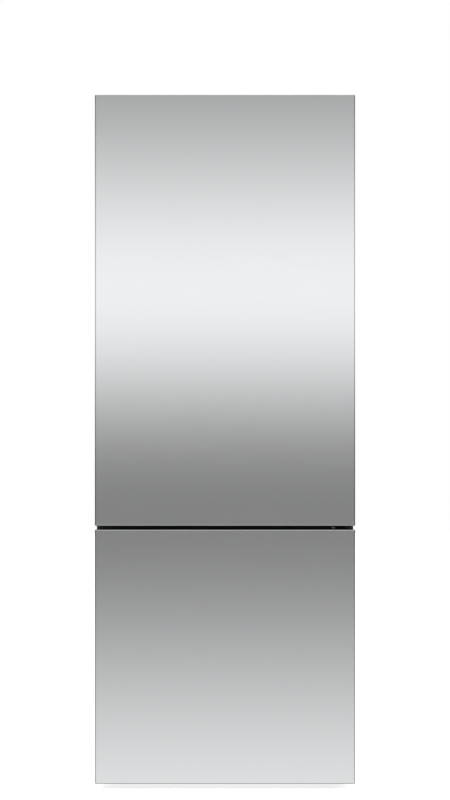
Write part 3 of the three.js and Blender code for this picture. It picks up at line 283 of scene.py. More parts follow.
# stage, camera and light
stageValues = {
    "cameraDistance": 4875, "cameraHeight": 951, "lens": 90,
    "doorFront": -347.5, "floorHalf": 9000, "floorThick": 20,
    "floorColor": "#f4f4f4", "floorGlow": 0.8, "glowNear": 0.6, "glowFar": 2.6,
    "bandLevel": 1.4, "sideDim": 0.4,
    "ambient": 0.46, "aim": (0, 0, 0.9), "keyPower": 105, "fillPower": 50, "backPower": 45,
}


def makeCamera():
    data = bpy.data.cameras.new("camera")
    data.lens = stageValues["lens"]
    data.sensor_width = 36
    camera = bpy.data.objects.new("camera", data)
    scene.collection.objects.link(camera)
    along = stageValues["doorFront"] - stageValues["cameraDistance"]
    camera.location = (0, mm(along), mm(stageValues["cameraHeight"]))
    camera.rotation_euler = (math.radians(90), 0, 0)
    scene.camera = camera


def makeFloor():
    bm = bmesh.new()
    half = stageValues["floorHalf"]
    addBlock(bm, -half, half, -half, half, -stageValues["floorThick"], 0)
    mesh = bpy.data.meshes.new("floor")
    bm.to_mesh(mesh)
    bm.free()
    floor = bpy.data.objects.new("floor", mesh)
    scene.collection.objects.link(floor)
    material, tree, shader, where = startMaterial(
        "paleFloor", stageValues["floorColor"], {"Roughness": 0.9, "Specular IOR Level": 0.1})
    # to the camera the floor brightens into the white background within a few metres
    ray = addNode(tree, "ShaderNodeLightPath")
    flat = addNode(tree, "ShaderNodeVectorMath", {"operation": "MULTIPLY", 1: (1, 1, 0)},
                   {0: where.outputs["Object"]})
    away = addNode(tree, "ShaderNodeVectorMath", {"operation": "LENGTH"}, {0: flat.outputs[0]})
    fade = addNode(tree, "ShaderNodeMapRange", {
        "From Min": stageValues["glowNear"], "From Max": stageValues["glowFar"],
        "To Min": stageValues["floorGlow"], "To Max": 1.0}, {"Value": away.outputs["Value"]})
    glow = addNode(tree, "ShaderNodeMath", {"operation": "MULTIPLY"},
                   {0: fade.outputs[0], 1: ray.outputs["Is Camera Ray"]})
    shader.inputs["Emission Color"].default_value = linearColor("#ffffff")
    tree.links.new(glow.outputs[0], shader.inputs["Emission Strength"])
    mesh.materials.append(material)
    floor.visible_glossy = False


def addLamp(name, place, width, height, power):
    data = bpy.data.lights.new(name, "AREA")
    data.shape = "RECTANGLE"
    data.size = width
    data.size_y = height
    data.energy = power
    lamp = bpy.data.objects.new(name, data)
    scene.collection.objects.link(lamp)
    lamp.location = place
    look = Vector(stageValues["aim"]) - Vector(place)
    lamp.rotation_euler = look.to_track_quat("-Z", "Y").to_euler()
    lamp.visible_glossy = False


# sine of the elevation against brightness: what polished metal sees of the studio
studioBands = [
    (-1.0, 0.28), (-0.5, 0.28), (-0.36, 0.6), (-0.2, 0.73), (-0.15, 0.5), (-0.12, 0.3),
    (-0.1, 0.22), (-0.08, 0.145), (-0.06, 0.075), (-0.04, 0.047), (-0.02, 0.142), (0.0, 0.375),
    (0.02, 0.69), (0.04, 0.96), (0.06, 0.89), (0.08, 0.8), (0.1, 0.62), (0.12, 0.45),
    (0.16, 0.21), (0.2, 0.16), (0.32, 0.5), (0.42, 0.52), (0.55, 0.32), (1.0, 0.32),
]


def makeWorld():
    world = bpy.data.worlds.new("studio")
    scene.world = world
    world.use_nodes = True
    world.cycles.sampling_method = "NONE"  # so that metal sees the bands alone, not the plain light
    tree = world.node_tree
    tree.nodes.clear()
    ray = addNode(tree, "ShaderNodeLightPath")
    where = addNode(tree, "ShaderNodeTexCoord")
    parts = addNode(tree, "ShaderNodeSeparateXYZ", {}, {0: where.outputs["Generated"]})
    rise = addNode(tree, "ShaderNodeMapRange",
                   {"From Min": -1.0, "From Max": 1.0}, {0: parts.outputs[2]})
    bands = addNode(tree, "ShaderNodeValToRGB", {}, {0: rise.outputs[0]})
    ramp = bands.color_ramp
    ramp.elements[0].position = 0
    for place, level in studioBands:
        at = (place + 1) / 2
        stop = ramp.elements[0] if at == 0 else (
            ramp.elements[-1] if at == 1 else ramp.elements.new(at))
        stop.color = (level, level, level, 1)
    aside = addNode(tree, "ShaderNodeMath", {"operation": "ABSOLUTE"}, {0: parts.outputs[0]})
    dim = addNode(tree, "ShaderNodeMapRange", {
        "From Min": 0.45, "From Max": 0.9, "To Min": stageValues["bandLevel"],
        "To Max": stageValues["bandLevel"] * stageValues["sideDim"]}, {"Value": aside.outputs[0]})
    mirror = addNode(tree, "ShaderNodeBackground", {},
                     {0: bands.outputs[0], "Strength": dim.outputs[0]})
    soft = addNode(tree, "ShaderNodeBackground",
                   {"Color": linearColor("#ffffff"), "Strength": stageValues["ambient"]})
    white = addNode(tree, "ShaderNodeBackground", {"Color": linearColor("#ffffff")})
    seen = addNode(tree, "ShaderNodeMath", {"operation": "MAXIMUM"},
                   {0: ray.outputs["Is Camera Ray"], 1: ray.outputs["Is Transmission Ray"]})
    glossy = addNode(tree, "ShaderNodeMixShader", {},
                     {0: ray.outputs["Is Glossy Ray"], 1: soft.outputs[0], 2: mirror.outputs[0]})
    both = addNode(tree, "ShaderNodeMixShader", {},
                   {0: seen.outputs[0], 1: glossy.outputs[0], 2: white.outputs[0]})
    addNode(tree, "ShaderNodeOutputWorld", {}, {0: both.outputs[0]})


makeCamera()
makeFloor()
makeWorld()
addLamp("keySoftbox", (-2.6, -3.4, 3.2), 2.2, 2.2, stageValues["keyPower"])
addLamp("fillSoftbox", (3.0, -2.6, 2.0), 2.0, 2.4, stageValues["fillPower"])
addLamp("backSoftbox", (0.4, 3.6, 2.6), 2.4, 2.0, stageValues["backPower"])
print("stage ready")


# finishes
def brushedStainlessSteel():
    # AISI 430 sheet, belt-ground along its width: soft mirror, hair-fine level scratches
    material, tree, shader, where = startMaterial("brushedStainlessSteel", "#ecedee",
                                                  {"Metallic": 1.0, "Roughness": 0.17})
    # a scratch is about 0.1 mm wide and 150 mm long; drawn 0.8 mm wide so that it shows
    stretch = addNode(tree, "ShaderNodeMapping", {"Scale": (6, 6, 1200)},
                      {"Vector": where.outputs["Object"]})
    grain = addNode(tree, "ShaderNodeTexNoise", {"Scale": 1.0, "Detail": 3.0, "Roughness": 0.65},
                    {"Vector": stretch.outputs[0]})
    spread = addNode(tree, "ShaderNodeMapRange", {"To Min": 0.12, "To Max": 0.155},
                     {"Value": grain.outputs[0]})
    tree.links.new(spread.outputs[0], shader.inputs["Roughness"])
    bump = addNode(tree, "ShaderNodeBump", {"Strength": 0.03, "Distance": mm(0.1)},
                   {"Height": grain.outputs[0]})
    tree.links.new(bump.outputs[0], shader.inputs["Normal"])
    # painted shade: metal that faces down gets a darker base colour, standing in for the shade
    # under the bends
    paintedShadeFacing = addNode(tree, "ShaderNodeSeparateXYZ", {}, {0: where.outputs["Normal"]})
    under = addNode(tree, "ShaderNodeMapRange", {"From Min": -0.5, "From Max": -0.06},
                    {"Value": paintedShadeFacing.outputs[2]})
    # 787a7b is the painted shade colour, #ecedee the steel's own
    tone = addNode(tree, "ShaderNodeMix", {"data_type": "RGBA", 6: linearColor("#787a7b"),
                                           7: linearColor("#ecedee")}, {0: under.outputs[0]})
    tree.links.new(tone.outputs[2], shader.inputs["Base Color"])
    return material


def pebbled(name, color, roughness, grit, depth, metal=0.0, mottle=0.0, strength=0.5):
    # a moulded, rolled or powder-coated surface: a fine pebble of the given grit in mm
    material, tree, shader, where = startMaterial(name, color, {"Metallic": metal,
                                                                "Roughness": roughness})
    pebble = addNode(tree, "ShaderNodeTexNoise",
                     {"Scale": 1000 / grit, "Detail": 2.0, "Roughness": 0.6},
                     {"Vector": where.outputs["Object"]})
    bump = addNode(tree, "ShaderNodeBump", {"Strength": strength, "Distance": mm(depth)},
                   {"Height": pebble.outputs[0]})
    tree.links.new(bump.outputs[0], shader.inputs["Normal"])
    spread = addNode(tree, "ShaderNodeMapRange",
                     {"To Min": roughness - 0.06, "To Max": roughness + 0.06},
                     {"Value": pebble.outputs[0]})
    tree.links.new(spread.outputs[0], shader.inputs["Roughness"])
    if mottle:
        cloud = addNode(tree, "ShaderNodeTexNoise", {"Scale": 9.0, "Detail": 3.0},
                        {"Vector": where.outputs["Object"]})
        shade = [c * (1 - mottle) for c in linearColor(color)[:3]] + [1]
        tone = addNode(tree, "ShaderNodeMix", {"data_type": "RGBA", 6: shade,
                                               7: linearColor(color)}, {0: cloud.outputs[0]})
        tree.links.new(tone.outputs[2], shader.inputs["Base Color"])
    return material


def zincCoatedSteel():
    # hot-dip galvanised sheet: dull metal with faint, frost-like spangles 6 mm across
    material, tree, shader, where = startMaterial("zincCoatedSteel", "#b4b8bb",
                                                  {"Metallic": 1.0, "Roughness": 0.42})
    warp = addNode(tree, "ShaderNodeTexNoise", {"Scale": 60.0, "Detail": 2.0},
                   {"Vector": where.outputs["Object"]})
    shift = addNode(tree, "ShaderNodeVectorMath",
                    {"operation": "MULTIPLY_ADD", 1: (0.006, 0.006, 0.006)},
                    {0: warp.outputs["Color"], 2: where.outputs["Object"]})
    spangle = addNode(tree, "ShaderNodeTexVoronoi", {"Scale": 1000 / 6},
                      {"Vector": shift.outputs[0]})
    tone = addNode(tree, "ShaderNodeMix", {"data_type": "RGBA", 6: linearColor("#afb3b6"),
                                           7: linearColor("#bdc1c4")},
                   {0: spangle.outputs["Color"]})
    tree.links.new(tone.outputs[2], shader.inputs["Base Color"])
    spread = addNode(tree, "ShaderNodeMapRange", {"To Min": 0.4, "To Max": 0.48},
                     {"Value": spangle.outputs["Color"]})
    tree.links.new(spread.outputs[0], shader.inputs["Roughness"])
    return material


# lamps and soft light reach what stands behind clear plastic and glass
def letLightThrough(tree, shader, tint):
    ray = addNode(tree, "ShaderNodeLightPath")
    either = addNode(tree, "ShaderNodeMath", {"operation": "MAXIMUM"},
                     {0: ray.outputs["Is Shadow Ray"], 1: ray.outputs["Is Diffuse Ray"]})
    clear = addNode(tree, "ShaderNodeBsdfTransparent", {"Color": linearColor(tint)})
    mixed = addNode(tree, "ShaderNodeMixShader", {},
                    {0: either.outputs[0], 1: shader.outputs[0], 2: clear.outputs[0]})
    tree.links.new(mixed.outputs[0], tree.nodes["Material Output"].inputs["Surface"])


def clearMoulding(name, color, roughness, grit, clear=1.0):
    # injection-moulded polystyrene: water clear, or milky and frosted by the mould's texture
    material, tree, shader, where = startMaterial(name, color, {
        "Transmission Weight": clear, "IOR": 1.59, "Roughness": roughness})
    flow = addNode(tree, "ShaderNodeTexNoise", {"Scale": 1000 / grit, "Detail": 2.0},
                   {"Vector": where.outputs["Object"]})
    spread = addNode(tree, "ShaderNodeMapRange",
                     {"To Min": roughness * 0.7, "To Max": roughness * 1.3},
                     {"Value": flow.outputs[0]})
    tree.links.new(spread.outputs[0], shader.inputs["Roughness"])
    bump = addNode(tree, "ShaderNodeBump", {"Strength": 0.15, "Distance": mm(0.05)},
                   {"Height": flow.outputs[0]})
    tree.links.new(bump.outputs[0], shader.inputs["Normal"])
    letLightThrough(tree, shader, color)
    return material


def temperedGlass(name, color, roughness):
    # float glass 4 mm thick: clear through its face, green through its polished edge
    material, tree, shader, where = startMaterial(name, color, {
        "Transmission Weight": 1.0, "IOR": 1.52, "Roughness": roughness})
    wave = addNode(tree, "ShaderNodeTexNoise", {"Scale": 14.0, "Detail": 1.0},
                   {"Vector": where.outputs["Object"]})
    bump = addNode(tree, "ShaderNodeBump", {"Strength": 0.05, "Distance": mm(0.1)},
                   {"Height": wave.outputs[0]})
    tree.links.new(bump.outputs[0], shader.inputs["Normal"])
    letLightThrough(tree, shader, color)
    return material


def rigidPolyurethaneFoam():
    # foamed in place between sheet and liner: honey-coloured, closed cells about 1 mm
    material, tree, shader, where = startMaterial("rigidPolyurethaneFoam", "#e6cf96",
                                                  {"Roughness": 0.9})
    cell = addNode(tree, "ShaderNodeTexVoronoi", {"Scale": 1000.0},
                   {"Vector": where.outputs["Object"]})
    tone = addNode(tree, "ShaderNodeMix", {"data_type": "RGBA", 6: linearColor("#f0dca9"),
                                           7: linearColor("#cdb274")},
                   {0: cell.outputs["Distance"]})
    tree.links.new(tone.outputs[2], shader.inputs["Base Color"])
    bump = addNode(tree, "ShaderNodeBump", {"Strength": 0.5, "Distance": mm(0.4)},
                   {"Height": cell.outputs["Distance"]})
    tree.links.new(bump.outputs[0], shader.inputs["Normal"])
    return material


# each finish is a material with the slot that it fills
stainless = brushedStainlessSteel(), "brushed_steel"
coatedSteel = pebbled("powderCoatedSteel", "#8f9193", 0.46, 1.2, 0.05), "painted_cabinet_steel"
blackCoat = pebbled("blackPowderCoatedSteel", "#1d1e20", 0.5, 1.0, 0.05), "dark_steel"
zinc = zincCoatedSteel(), "zinc_coated_steel"
whitePs = pebbled("thermoformedWhitePolystyrene", "#e9ebec", 0.33, 2.4, 0.03, mottle=0.03,
                  strength=0.35), "white_liner"
darkAbs = pebbled("mouldedDarkAbs", "#2c2d30", 0.48, 0.6, 0.03), "dark_plastic"
greyAbs = pebbled("mouldedGreyAbs", "#85888b", 0.46, 0.6, 0.03), "grey_plastic"
gasketPvc = pebbled("extrudedGreyPvc", "#7b7e80", 0.62, 1.5, 0.02), "gasket_rubber"
clearPs = clearMoulding("clearMouldedPolystyrene", "#fbfdfd", 0.06, 20), "clear_plastic"
frostedPs = clearMoulding("frostedMouldedPolystyrene", "#f3f8fa", 0.32, 0.8,
                          clear=0.66), "frosted_plastic"
glass = temperedGlass("temperedFloatGlass", "#f8fcfa", 0.02), "shelf_glass"
glassEdge = temperedGlass("polishedGlassEdge", "#9fd2bd", 0.12)
smokedAcrylic = pebbled("polishedSmokedAcrylic", "#0d0e10", 0.12, 4.0, 0.005), "dark_plastic"
indicatorLens = pebbled("mouldedIndicatorLens", "#e4f2e8", 0.3, 2.0, 0.01), "frosted_plastic"
foam = rigidPolyurethaneFoam()
finAluminium = pebbled("rolledFinAluminium", "#d3d6d8", 0.36, 0.9, 0.01, metal=1.0,
                       mottle=0.05), "coil_aluminium"
drawnAluminium = pebbled("drawnAluminiumTube", "#c6cacd", 0.3, 1.6, 0.01, metal=1.0,
                         mottle=0.04), "coil_aluminium"
icePe = pebbled("mouldedIcePolyethylene", "#d9e6ee", 0.42, 1.2, 0.02), "frosted_plastic"
copper = pebbled("drawnCopper", "#c98a63", 0.3, 2.0, 0.01, metal=1.0, mottle=0.12), "coil_aluminium"
enamel = pebbled("stovedBlackEnamel", "#17181a", 0.28, 3.0, 0.03, strength=0.3), "black_enamel"
rubber = pebbled("mouldedHardRubber", "#232426", 0.75, 0.8, 0.04), "hard_rubber"
screwZinc = pebbled("zincPlatedScrewSteel", "#c4c8cb", 0.3, 1.0, 0.01,
                    metal=1.0), "zinc_coated_steel"
print("finishes ready")

# doors: one sheet of brushed steel round a foamed core, closed by a moulded cap at each end
doorValues = {
    "half": 317.5, "front": -347.5, "sheet": 1.0, "corner": 4.0,
    "sideEnd": -288.1, "lipEnd": -333.5, "hem": 1.8, "hemReturn": 4.0,
    "hingeX": 297.5, "hingeY": -307.5,
}
upper = {"name": "upperDoor", "node": "upper_door", "z0": 644.0, "z1": 1695.0,
         "notch": ((280.5, -336.5, 1677.25), (320, -284, 1700)),
         "bores": ((1656.0, 1680.0), (642.0, 664.3)),
         "dykeHalf": 256.0, "dyke": (684.0, 1620.0), "rise": 40.0, "seal": (652.0, 1670.0)}
lower = {"name": "lowerDoor", "node": "lower_door", "z0": 15.0, "z1": 635.0,
         "notch": ((280.5, -336.5, 10), (320, -284, 23.5)),
         "bores": ((614.7, 637.0), (20.0, 45.5)),
         "dykeHalf": 243.0, "dyke": (104.0, 595.0), "rise": 23.5, "seal": (66.0, 627.0)}


# a quarter round as (way in, way along) from its edge
def quarter(radius, steps=4):
    return [(radius - a, radius - b) for a, b in arc(0, 0, radius, 0, 90, steps)]


# points just inside the corners keep the flat of the face flat in its shading
def doorPath(half, front, radius, left, right):
    x, y = half - radius, front + radius
    return [(-half, left)] + arc(-x, y, radius, 180, 270, 8) \
        + [(0.4 - x, front), (x - 0.4, front)] + arc(x, y, radius, 270, 360, 8) + [(half, right)]


def makeDoorSkin(door):
    v = doorValues
    hem = v["hem"]
    # (inset, distance from the door's end), from the hem's return out to the face
    end = [(hem + v["hemReturn"], 0)] + [(b, a) for a, b in quarter(hem, 6)] + [(0, hem + 0.4)]
    levels = [(i, door["z0"] + d) for i, d in end] + [(i, door["z1"] - d) for i, d in end[::-1]]
    bm = bmesh.new()
    skinLoops(bm, [[(x, y, z) for x, y in doorPath(v["half"] - i, v["front"] + i,
                                                   max(v["corner"] - i, 0.5), v["lipEnd"],
                                                   v["sideEnd"])]
                   for i, z in levels], openPath=True)
    facing(bm, (0, -1, 0))
    makePiece(door["name"] + "Skin", bm, stainless, door["node"], door["node"] + "_skin",
              thick=v["sheet"], cuts=[door["notch"]], turn=False)


capValues = {"half": 316.25, "front": -346.25, "back": -288.0, "corner": 2.75, "height": 40.0,
             "ledge": 1.4, "ledgeInset": 6.2, "sunk": 0.5, "bore": 5.4, "plug": 6.5,
             "plugDeep": 2.4, "plugs": (-210, 0, 210), "plugY": -316}


def makeDoorCap(door, end):
    v = capValues
    way = 1 if end == "top" else -1
    outer, step = door["z1"] if end == "top" else door["z0"], v["ledgeInset"]
    levels = [(0, v["height"]), (0, v["ledge"] + 0.6), (0.6, v["ledge"]), (step, v["ledge"]),
              (step + 0.3, v["sunk"] + 0.4), (step + 0.8, v["sunk"])]
    bm, holes, plugs = bmesh.new(), bmesh.new(), bmesh.new()
    skinLoops(bm, [[(x, y, outer - way * depth) for x, y in doorPath(
        v["half"] - i, v["front"] + i, max(v["corner"] - i, 0.4), v["back"] - i, v["back"] - i)]
        for i, depth in levels])
    low, high = door["bores"][0 if end == "top" else 1]
    addRod(holes, "z", v["bore"], low, high, doorValues["hingeX"], doorValues["hingeY"])
    r, y = v["plug"], v["plugY"]
    for x in v["plugs"]:
        addRod(holes, "z", r + 0.4, *sorted((outer - way * v["plugDeep"], outer + way)), x, y)
        addTurned(plugs, "z", [(r, 2.6), (r, 1.0), (5.9, 0.6), (1.2, 0.6), (0.9, 1.0)], x, y, 24,
                  base=outer, way=-way)
    name = door["name"] + end.title()
    makePiece(name + "Cap", bm, darkAbs, door["node"], f"{door['node']}_{end}_cap", edge=0.35,
              cuts=[door["notch"]], cutter=holes)
    makePiece(name + "Plugs", plugs, darkAbs, door["node"])


gripValues = {"x0": -317.25, "x1": -292.25, "y0": -333.25, "y1": -301.25, "wall": 2.0,
              "fillet": 7.0, "cut": 3.0, "ridges": 4, "ridge": 0.7, "pitch": 2.6, "trim": 0.95,
              "trimEnd": -288.1, "gap": 0.25}


def makeGrip(door):
    v = gripValues
    x0, x1, y0, y1, wall, r, c = (v[key] for key in ("x0", "x1", "y0", "y1", "wall", "fillet",
                                                     "cut"))
    trim, end = x0 + v["trim"], v["trimEnd"]
    deep, far, rise = x1 - wall - r, y0 + wall, y0 + wall + v["ridge"]
    outline = [(x0, y0), (x1 - c, y0), (x1, y0 + c), (x1, y1 - c), (x1 - c, y1), (trim, y1),
               (trim, end), (x0 + 0.3, end), (x0, end - 0.3), (x0, y1 - wall)]
    outline += arc(deep, y1 - wall - r, r, 90, 0, 6) + arc(deep, far + r, r, 0, -90, 6)
    # ridges behind the lip, where the fingertips hold
    for i in range(v["ridges"]):
        x = deep - 2.5 - i * v["pitch"]
        outline += [(x + 0.9, far), (x + 0.4, rise), (x - 0.4, rise), (x - 0.9, far)]
    bm, ends = bmesh.new(), capValues["height"] + v["gap"]
    addPrism(bm, "z", outline + [(x0, far)], door["z0"] + ends, door["z1"] - ends)
    makePiece(door["name"] + "Grip", bm, darkAbs, door["node"], door["node"] + "_grip", edge=0.3)


linerValues = {"half": 316.3, "edge": 3.5, "back": -287.75, "face": -285.5, "width": 22.0,
               "round": 6.0, "bossTops": (799.75, 1104.75, 1434.75), "boss": (226.0, 235.0),
               "bossDeep": (10.0, 36.0), "bossTall": 10.0}


def makeDoorLiner(door):
    v = linerValues
    half, face, top = door["dykeHalf"], v["face"], v["face"] + door["rise"]
    plate, edge, width, r = v["half"], v["edge"], v["width"], v["round"]
    # (y, inset, corner): up inside the dyke, over its round top and down to the rim
    levels = [(face, width + 5, 7), (face + 0.5, width + 2.6, 8), (face + 3.5, width + 0.6, 9)]
    levels += [(y, i, 10) for i, y in arc(width - r, top - r, r, 0, 90, 4)]
    levels += [(y, i, 14) for i, y in arc(r, top - r, r, 90, 180, 4)]
    levels += [(face + 3.5, -0.6, 15), (face + 0.7, -2.0, 16), (face, -4.4, 18)]
    rows = [(y, i, corner, half, door["dyke"]) for y, i, corner in levels]
    rows += [(y, i, 6, plate, (door["z0"] + edge, door["z1"] - edge))
             for y, i in ((face, 0.9), (face - 0.8, 0), (v["back"], 0))]
    bm = bmesh.new()
    skinLoops(bm, [rectLoop("y", y, i - wide, wide - i, z0 + i, z1 - i, corner, 6)
                   for y, i, corner, wide, (z0, z1) in rows])
    makePiece(door["name"] + "Liner", bm, whitePs, door["node"], door["node"] + "_liner", limit=50,
              cuts=[door["notch"]])
    if door is upper:
        bosses = bmesh.new()
        near, back = (face + deep for deep in v["bossDeep"])
        for boss in v["bossTops"]:
            for side in (-1, 1):
                addBar(bosses, "x", (near, back, boss - v["bossTall"], boss), 3,
                       [side * x for x in v["boss"]])
        makePiece("binBosses", bosses, whitePs, door["node"], edge=0.8)


# the magnet's pocket lies on the cabinet, a folded bellows joins it to the foot in the liner
gasketValues = {"half": 300.5, "corner": 18.0, "profile": (
    (1.6, -273.75), (14.4, -273.75), (15.6, -274.7), (15.6, -276.7), (14.2, -277.6),
    (10.6, -278.3), (12.9, -279.7), (10.6, -281.1), (13.4, -282.0), (15.7, -283.2),
    (15.7, -284.6), (13.4, -285.25), (2.6, -285.25), (0.3, -284.6), (0.3, -283.2),
    (3.0, -282.0), (5.6, -281.1), (3.3, -279.7), (5.6, -278.3), (2.0, -277.6),
    (0.4, -276.7), (0.4, -274.7))}


def makeGasket(door):
    half, corner = gasketValues["half"], gasketValues["corner"]
    bm = bmesh.new()
    addStack(bm, "y", (-half, half, *door["seal"]),
             [(y, inset, corner - inset) for inset, y in gasketValues["profile"]], ring=True)
    makePiece(door["name"] + "Gasket", bm, gasketPvc, door["node"], door["node"] + "_gasket")


for door in (upper, lower):
    makeDoorSkin(door)
    makeDoorCap(door, "top")
    makeDoorCap(door, "bottom")
    makeGrip(door)
    makeDoorLiner(door)
    makeGasket(door)
print("doors ready")

# cabinet: one bent steel wrapper, its front edge folded into the face the gaskets pull on to
cabinetValues = {"corner": 4.0, "fold": 2.0, "flange": 30.0, "hem": 1.0, "sheet": 1.0,
                 "plugs": ((-297.5, -262.0), (-262.0, -232.0), (-240.0, -262.0)), "plug": 7.0}


def archPath(box, inset):
    (x0, _, z0), (x1, _, z1) = box
    left, right, top = x0 + inset, x1 - inset, z1 - inset
    r = max(cabinetValues["corner"] - inset, 0.4)
    shoulder = top - r - 0.4
    return [(left, z0), (left, shoulder)] + arc(left + r, top - r, r, 180, 90, 6) \
        + [(left + r + 0.4, top), (right - r - 0.4, top)] + arc(right - r, top - r, r, 90, 0, 6) \
        + [(right, shoulder), (right, z0)]


def makeCabinetShell():
    v = cabinetValues
    box = nodeBox("cabinet_shell")
    front, rear, fold = box[0][1], box[1][1], v["fold"]
    levels = [(0, rear), (0, front + fold + 0.4)] + [(i, front + y) for i, y in quarter(fold)]
    levels += [(fold + 0.4, front)] + [(v["flange"] - y, front + i) for i, y in quarter(v["hem"])]
    levels.append((v["flange"], front + v["hem"] + 0.8))
    bm, plugs, r = bmesh.new(), bmesh.new(), v["plug"]
    skinLoops(bm, [[(x, y, z) for x, z in archPath(box, inset)] for inset, y in levels],
              openPath=True)
    facing(bm, (0, 0, 1))
    makePiece("cabinetShell", bm, coatedSteel, stands="cabinet_shell", thick=v["sheet"], turn=False)
    # the hinge's other set of holes, on the left, is closed with plugs
    for x, y in v["plugs"]:
        addTurned(plugs, "z", [(r - 1.5, -2), (r - 1.5, 0), (r, 0), (r, 0.6), (r - 0.8, 1.2),
                               (0.4, 1.5)], x, y, 24, base=box[1][2])
    makePiece("hingeHolePlugs", plugs, greyAbs)


# a pressed-in cavity, rounded inside; its mouth rolls out into a flat flange
linerForm = {"sheet": 2.0, "lip": 2.0, "round": 10.0, "ledge": 10.0, "rail": 6.0, "railRise": 3.75,
             "ledgeFront": -165.0, "ledgeBack": 258.0, "stop": (259.0, 266.0), "stopRise": 9.0,
             "glassLevels": (871.5, 1049.75, 1229.75, 1409.75),
             "rails": (-236.0, -32.0, 32.0, 236.0),
             "flangeHalf": 287.25, "fridgeHalf": 268.0, "fridgeBack": 285.0,
             "fridgeFloor": 672.0, "fridgeTop": 1632.0, "fridgeFlange": (669.9, 1649.75),
             "freezerHalf": 255.0, "freezer": ((62, 92), (62, 300), (262, 300), (262, 607)),
             "freezerFlange": (84.25, 609.1), "runner": 8.0, "runnerDrop": 10.25}


def formCavity(name, node, outline, half, flange):
    v = linerForm
    bm = bmesh.new()
    front = nodeBox("fridge_liner")[0][1]
    z0, z1 = outline[0][1], outline[-1][1]
    mouth = front + v["lip"]
    addPrism(bm, "x", [(mouth, z0), *outline, (mouth, z1)], -half, half)
    bmesh.ops.recalc_face_normals(bm, faces=bm.faces)

    def onMouth(item):
        return all(abs(vert.co.y - mm(mouth)) < 1e-6 for vert in item.verts)

    bmesh.ops.bevel(bm, geom=[edge for edge in bm.edges if not onMouth(edge)],
                    offset=mm(v["round"]), segments=5, profile=0.5, affect="EDGES")
    bmesh.ops.delete(bm, geom=[face for face in bm.faces if onMouth(face)], context="FACES")
    loops = [rectLoop("y", front + y, -half - out, half + out, z0 - out, z1 + out,
                      v["round"] + out, 5) for out, y in quarter(v["lip"])]
    loops.append(rectLoop("y", front, -v["flangeHalf"], v["flangeHalf"], *flange, 0.3, 5))
    skinLoops(bm, loops, caps=False)
    bmesh.ops.remove_doubles(bm, verts=bm.verts, dist=mm(0.05))
    facing(bm, (0, -1, 0))
    makePiece(name, bm, whitePs, stands=node, thick=v["sheet"], turn=False)


def addLedge(bm, side, wall, reach, top, tall, ends):
    x0, x1 = sorted((side * (wall + 0.8), side * (wall - reach)))
    addBar(bm, "y", (x0, x1, top - tall, top), 2.2, ends, 3)


def makeLiners():
    v = linerForm
    back, floor, wall, ledge = v["fridgeBack"], v["fridgeFloor"], v["fridgeHalf"], v["ledge"]
    formCavity("fridgeLiner", "fridge_liner", [(back, floor), (back, v["fridgeTop"])], wall,
               v["fridgeFlange"])
    formCavity("freezerLiner", "freezer_liner", v["freezer"], v["freezerHalf"], v["freezerFlange"])
    ledges, runners, ends = bmesh.new(), bmesh.new(), (v["ledgeFront"], v["ledgeBack"])
    for top in v["glassLevels"]:
        for side in (-1, 1):
            addLedge(ledges, side, wall, ledge, top, ledge, ends)
            # a stop at the back keeps the glass from sliding off
            addLedge(ledges, side, wall, ledge, top + v["stopRise"], 2 * v["stopRise"], v["stop"])
    for x in v["rails"]:
        half = v["rail"] / 2
        addBar(ledges, "y", (x - half, x + half, floor - 1, floor + v["railRise"]),
               1.2, ends, 3)
    makePiece("fridgeLedges", ledges, whitePs, edge=1.0)
    for key in ("bottom", "middle", "top"):
        low, high = nodeBox("freezer_drawer_" + key)
        for side in (-1, 1):
            addLedge(runners, side, v["freezerHalf"], v["runner"], high[2] - v["runnerDrop"],
                     v["runner"], (low[1] + 16, high[1] - 10))
    makePiece("freezerRunners", runners, whitePs, edge=1.0)


# hex washer-head screws, seen on a face whose outward way is along one axis
def addScrew(bm, axis, way, level, a, b, size=4.0):
    r = size
    addTurned(bm, axis, [(r * 1.25, -1.0), (r * 1.25, 0.35), (r * 1.05, 0.8), (r * 0.9, 0.85)],
              a, b, 20, base=level, way=way)
    addTurned(bm, axis, [(r, 0.5), (r, r * 0.6), (r * 0.82, r * 0.75), (r * 0.4, r * 0.75),
                         (r * 0.35, r * 0.5)], a, b, 6, base=level, way=way)


rearValues = {"border": 16.0, "rise": 0.8, "beads": (430, 650, 870, 1090, 1310, 1530),
              "beadHalf": 235.0, "beadTall": 7.0, "screwInset": 7.5, "screwRows": 6,
              "screwColumns": (-150, 0, 150), "screw": 3.0, "coverInset": 9.0,
              "coverColumns": (-75, 22), "slats": ((27, 273), (-273, -107)),
              "pins": ((-7, -2.0), (0, 2.6), (7, -2.0))}


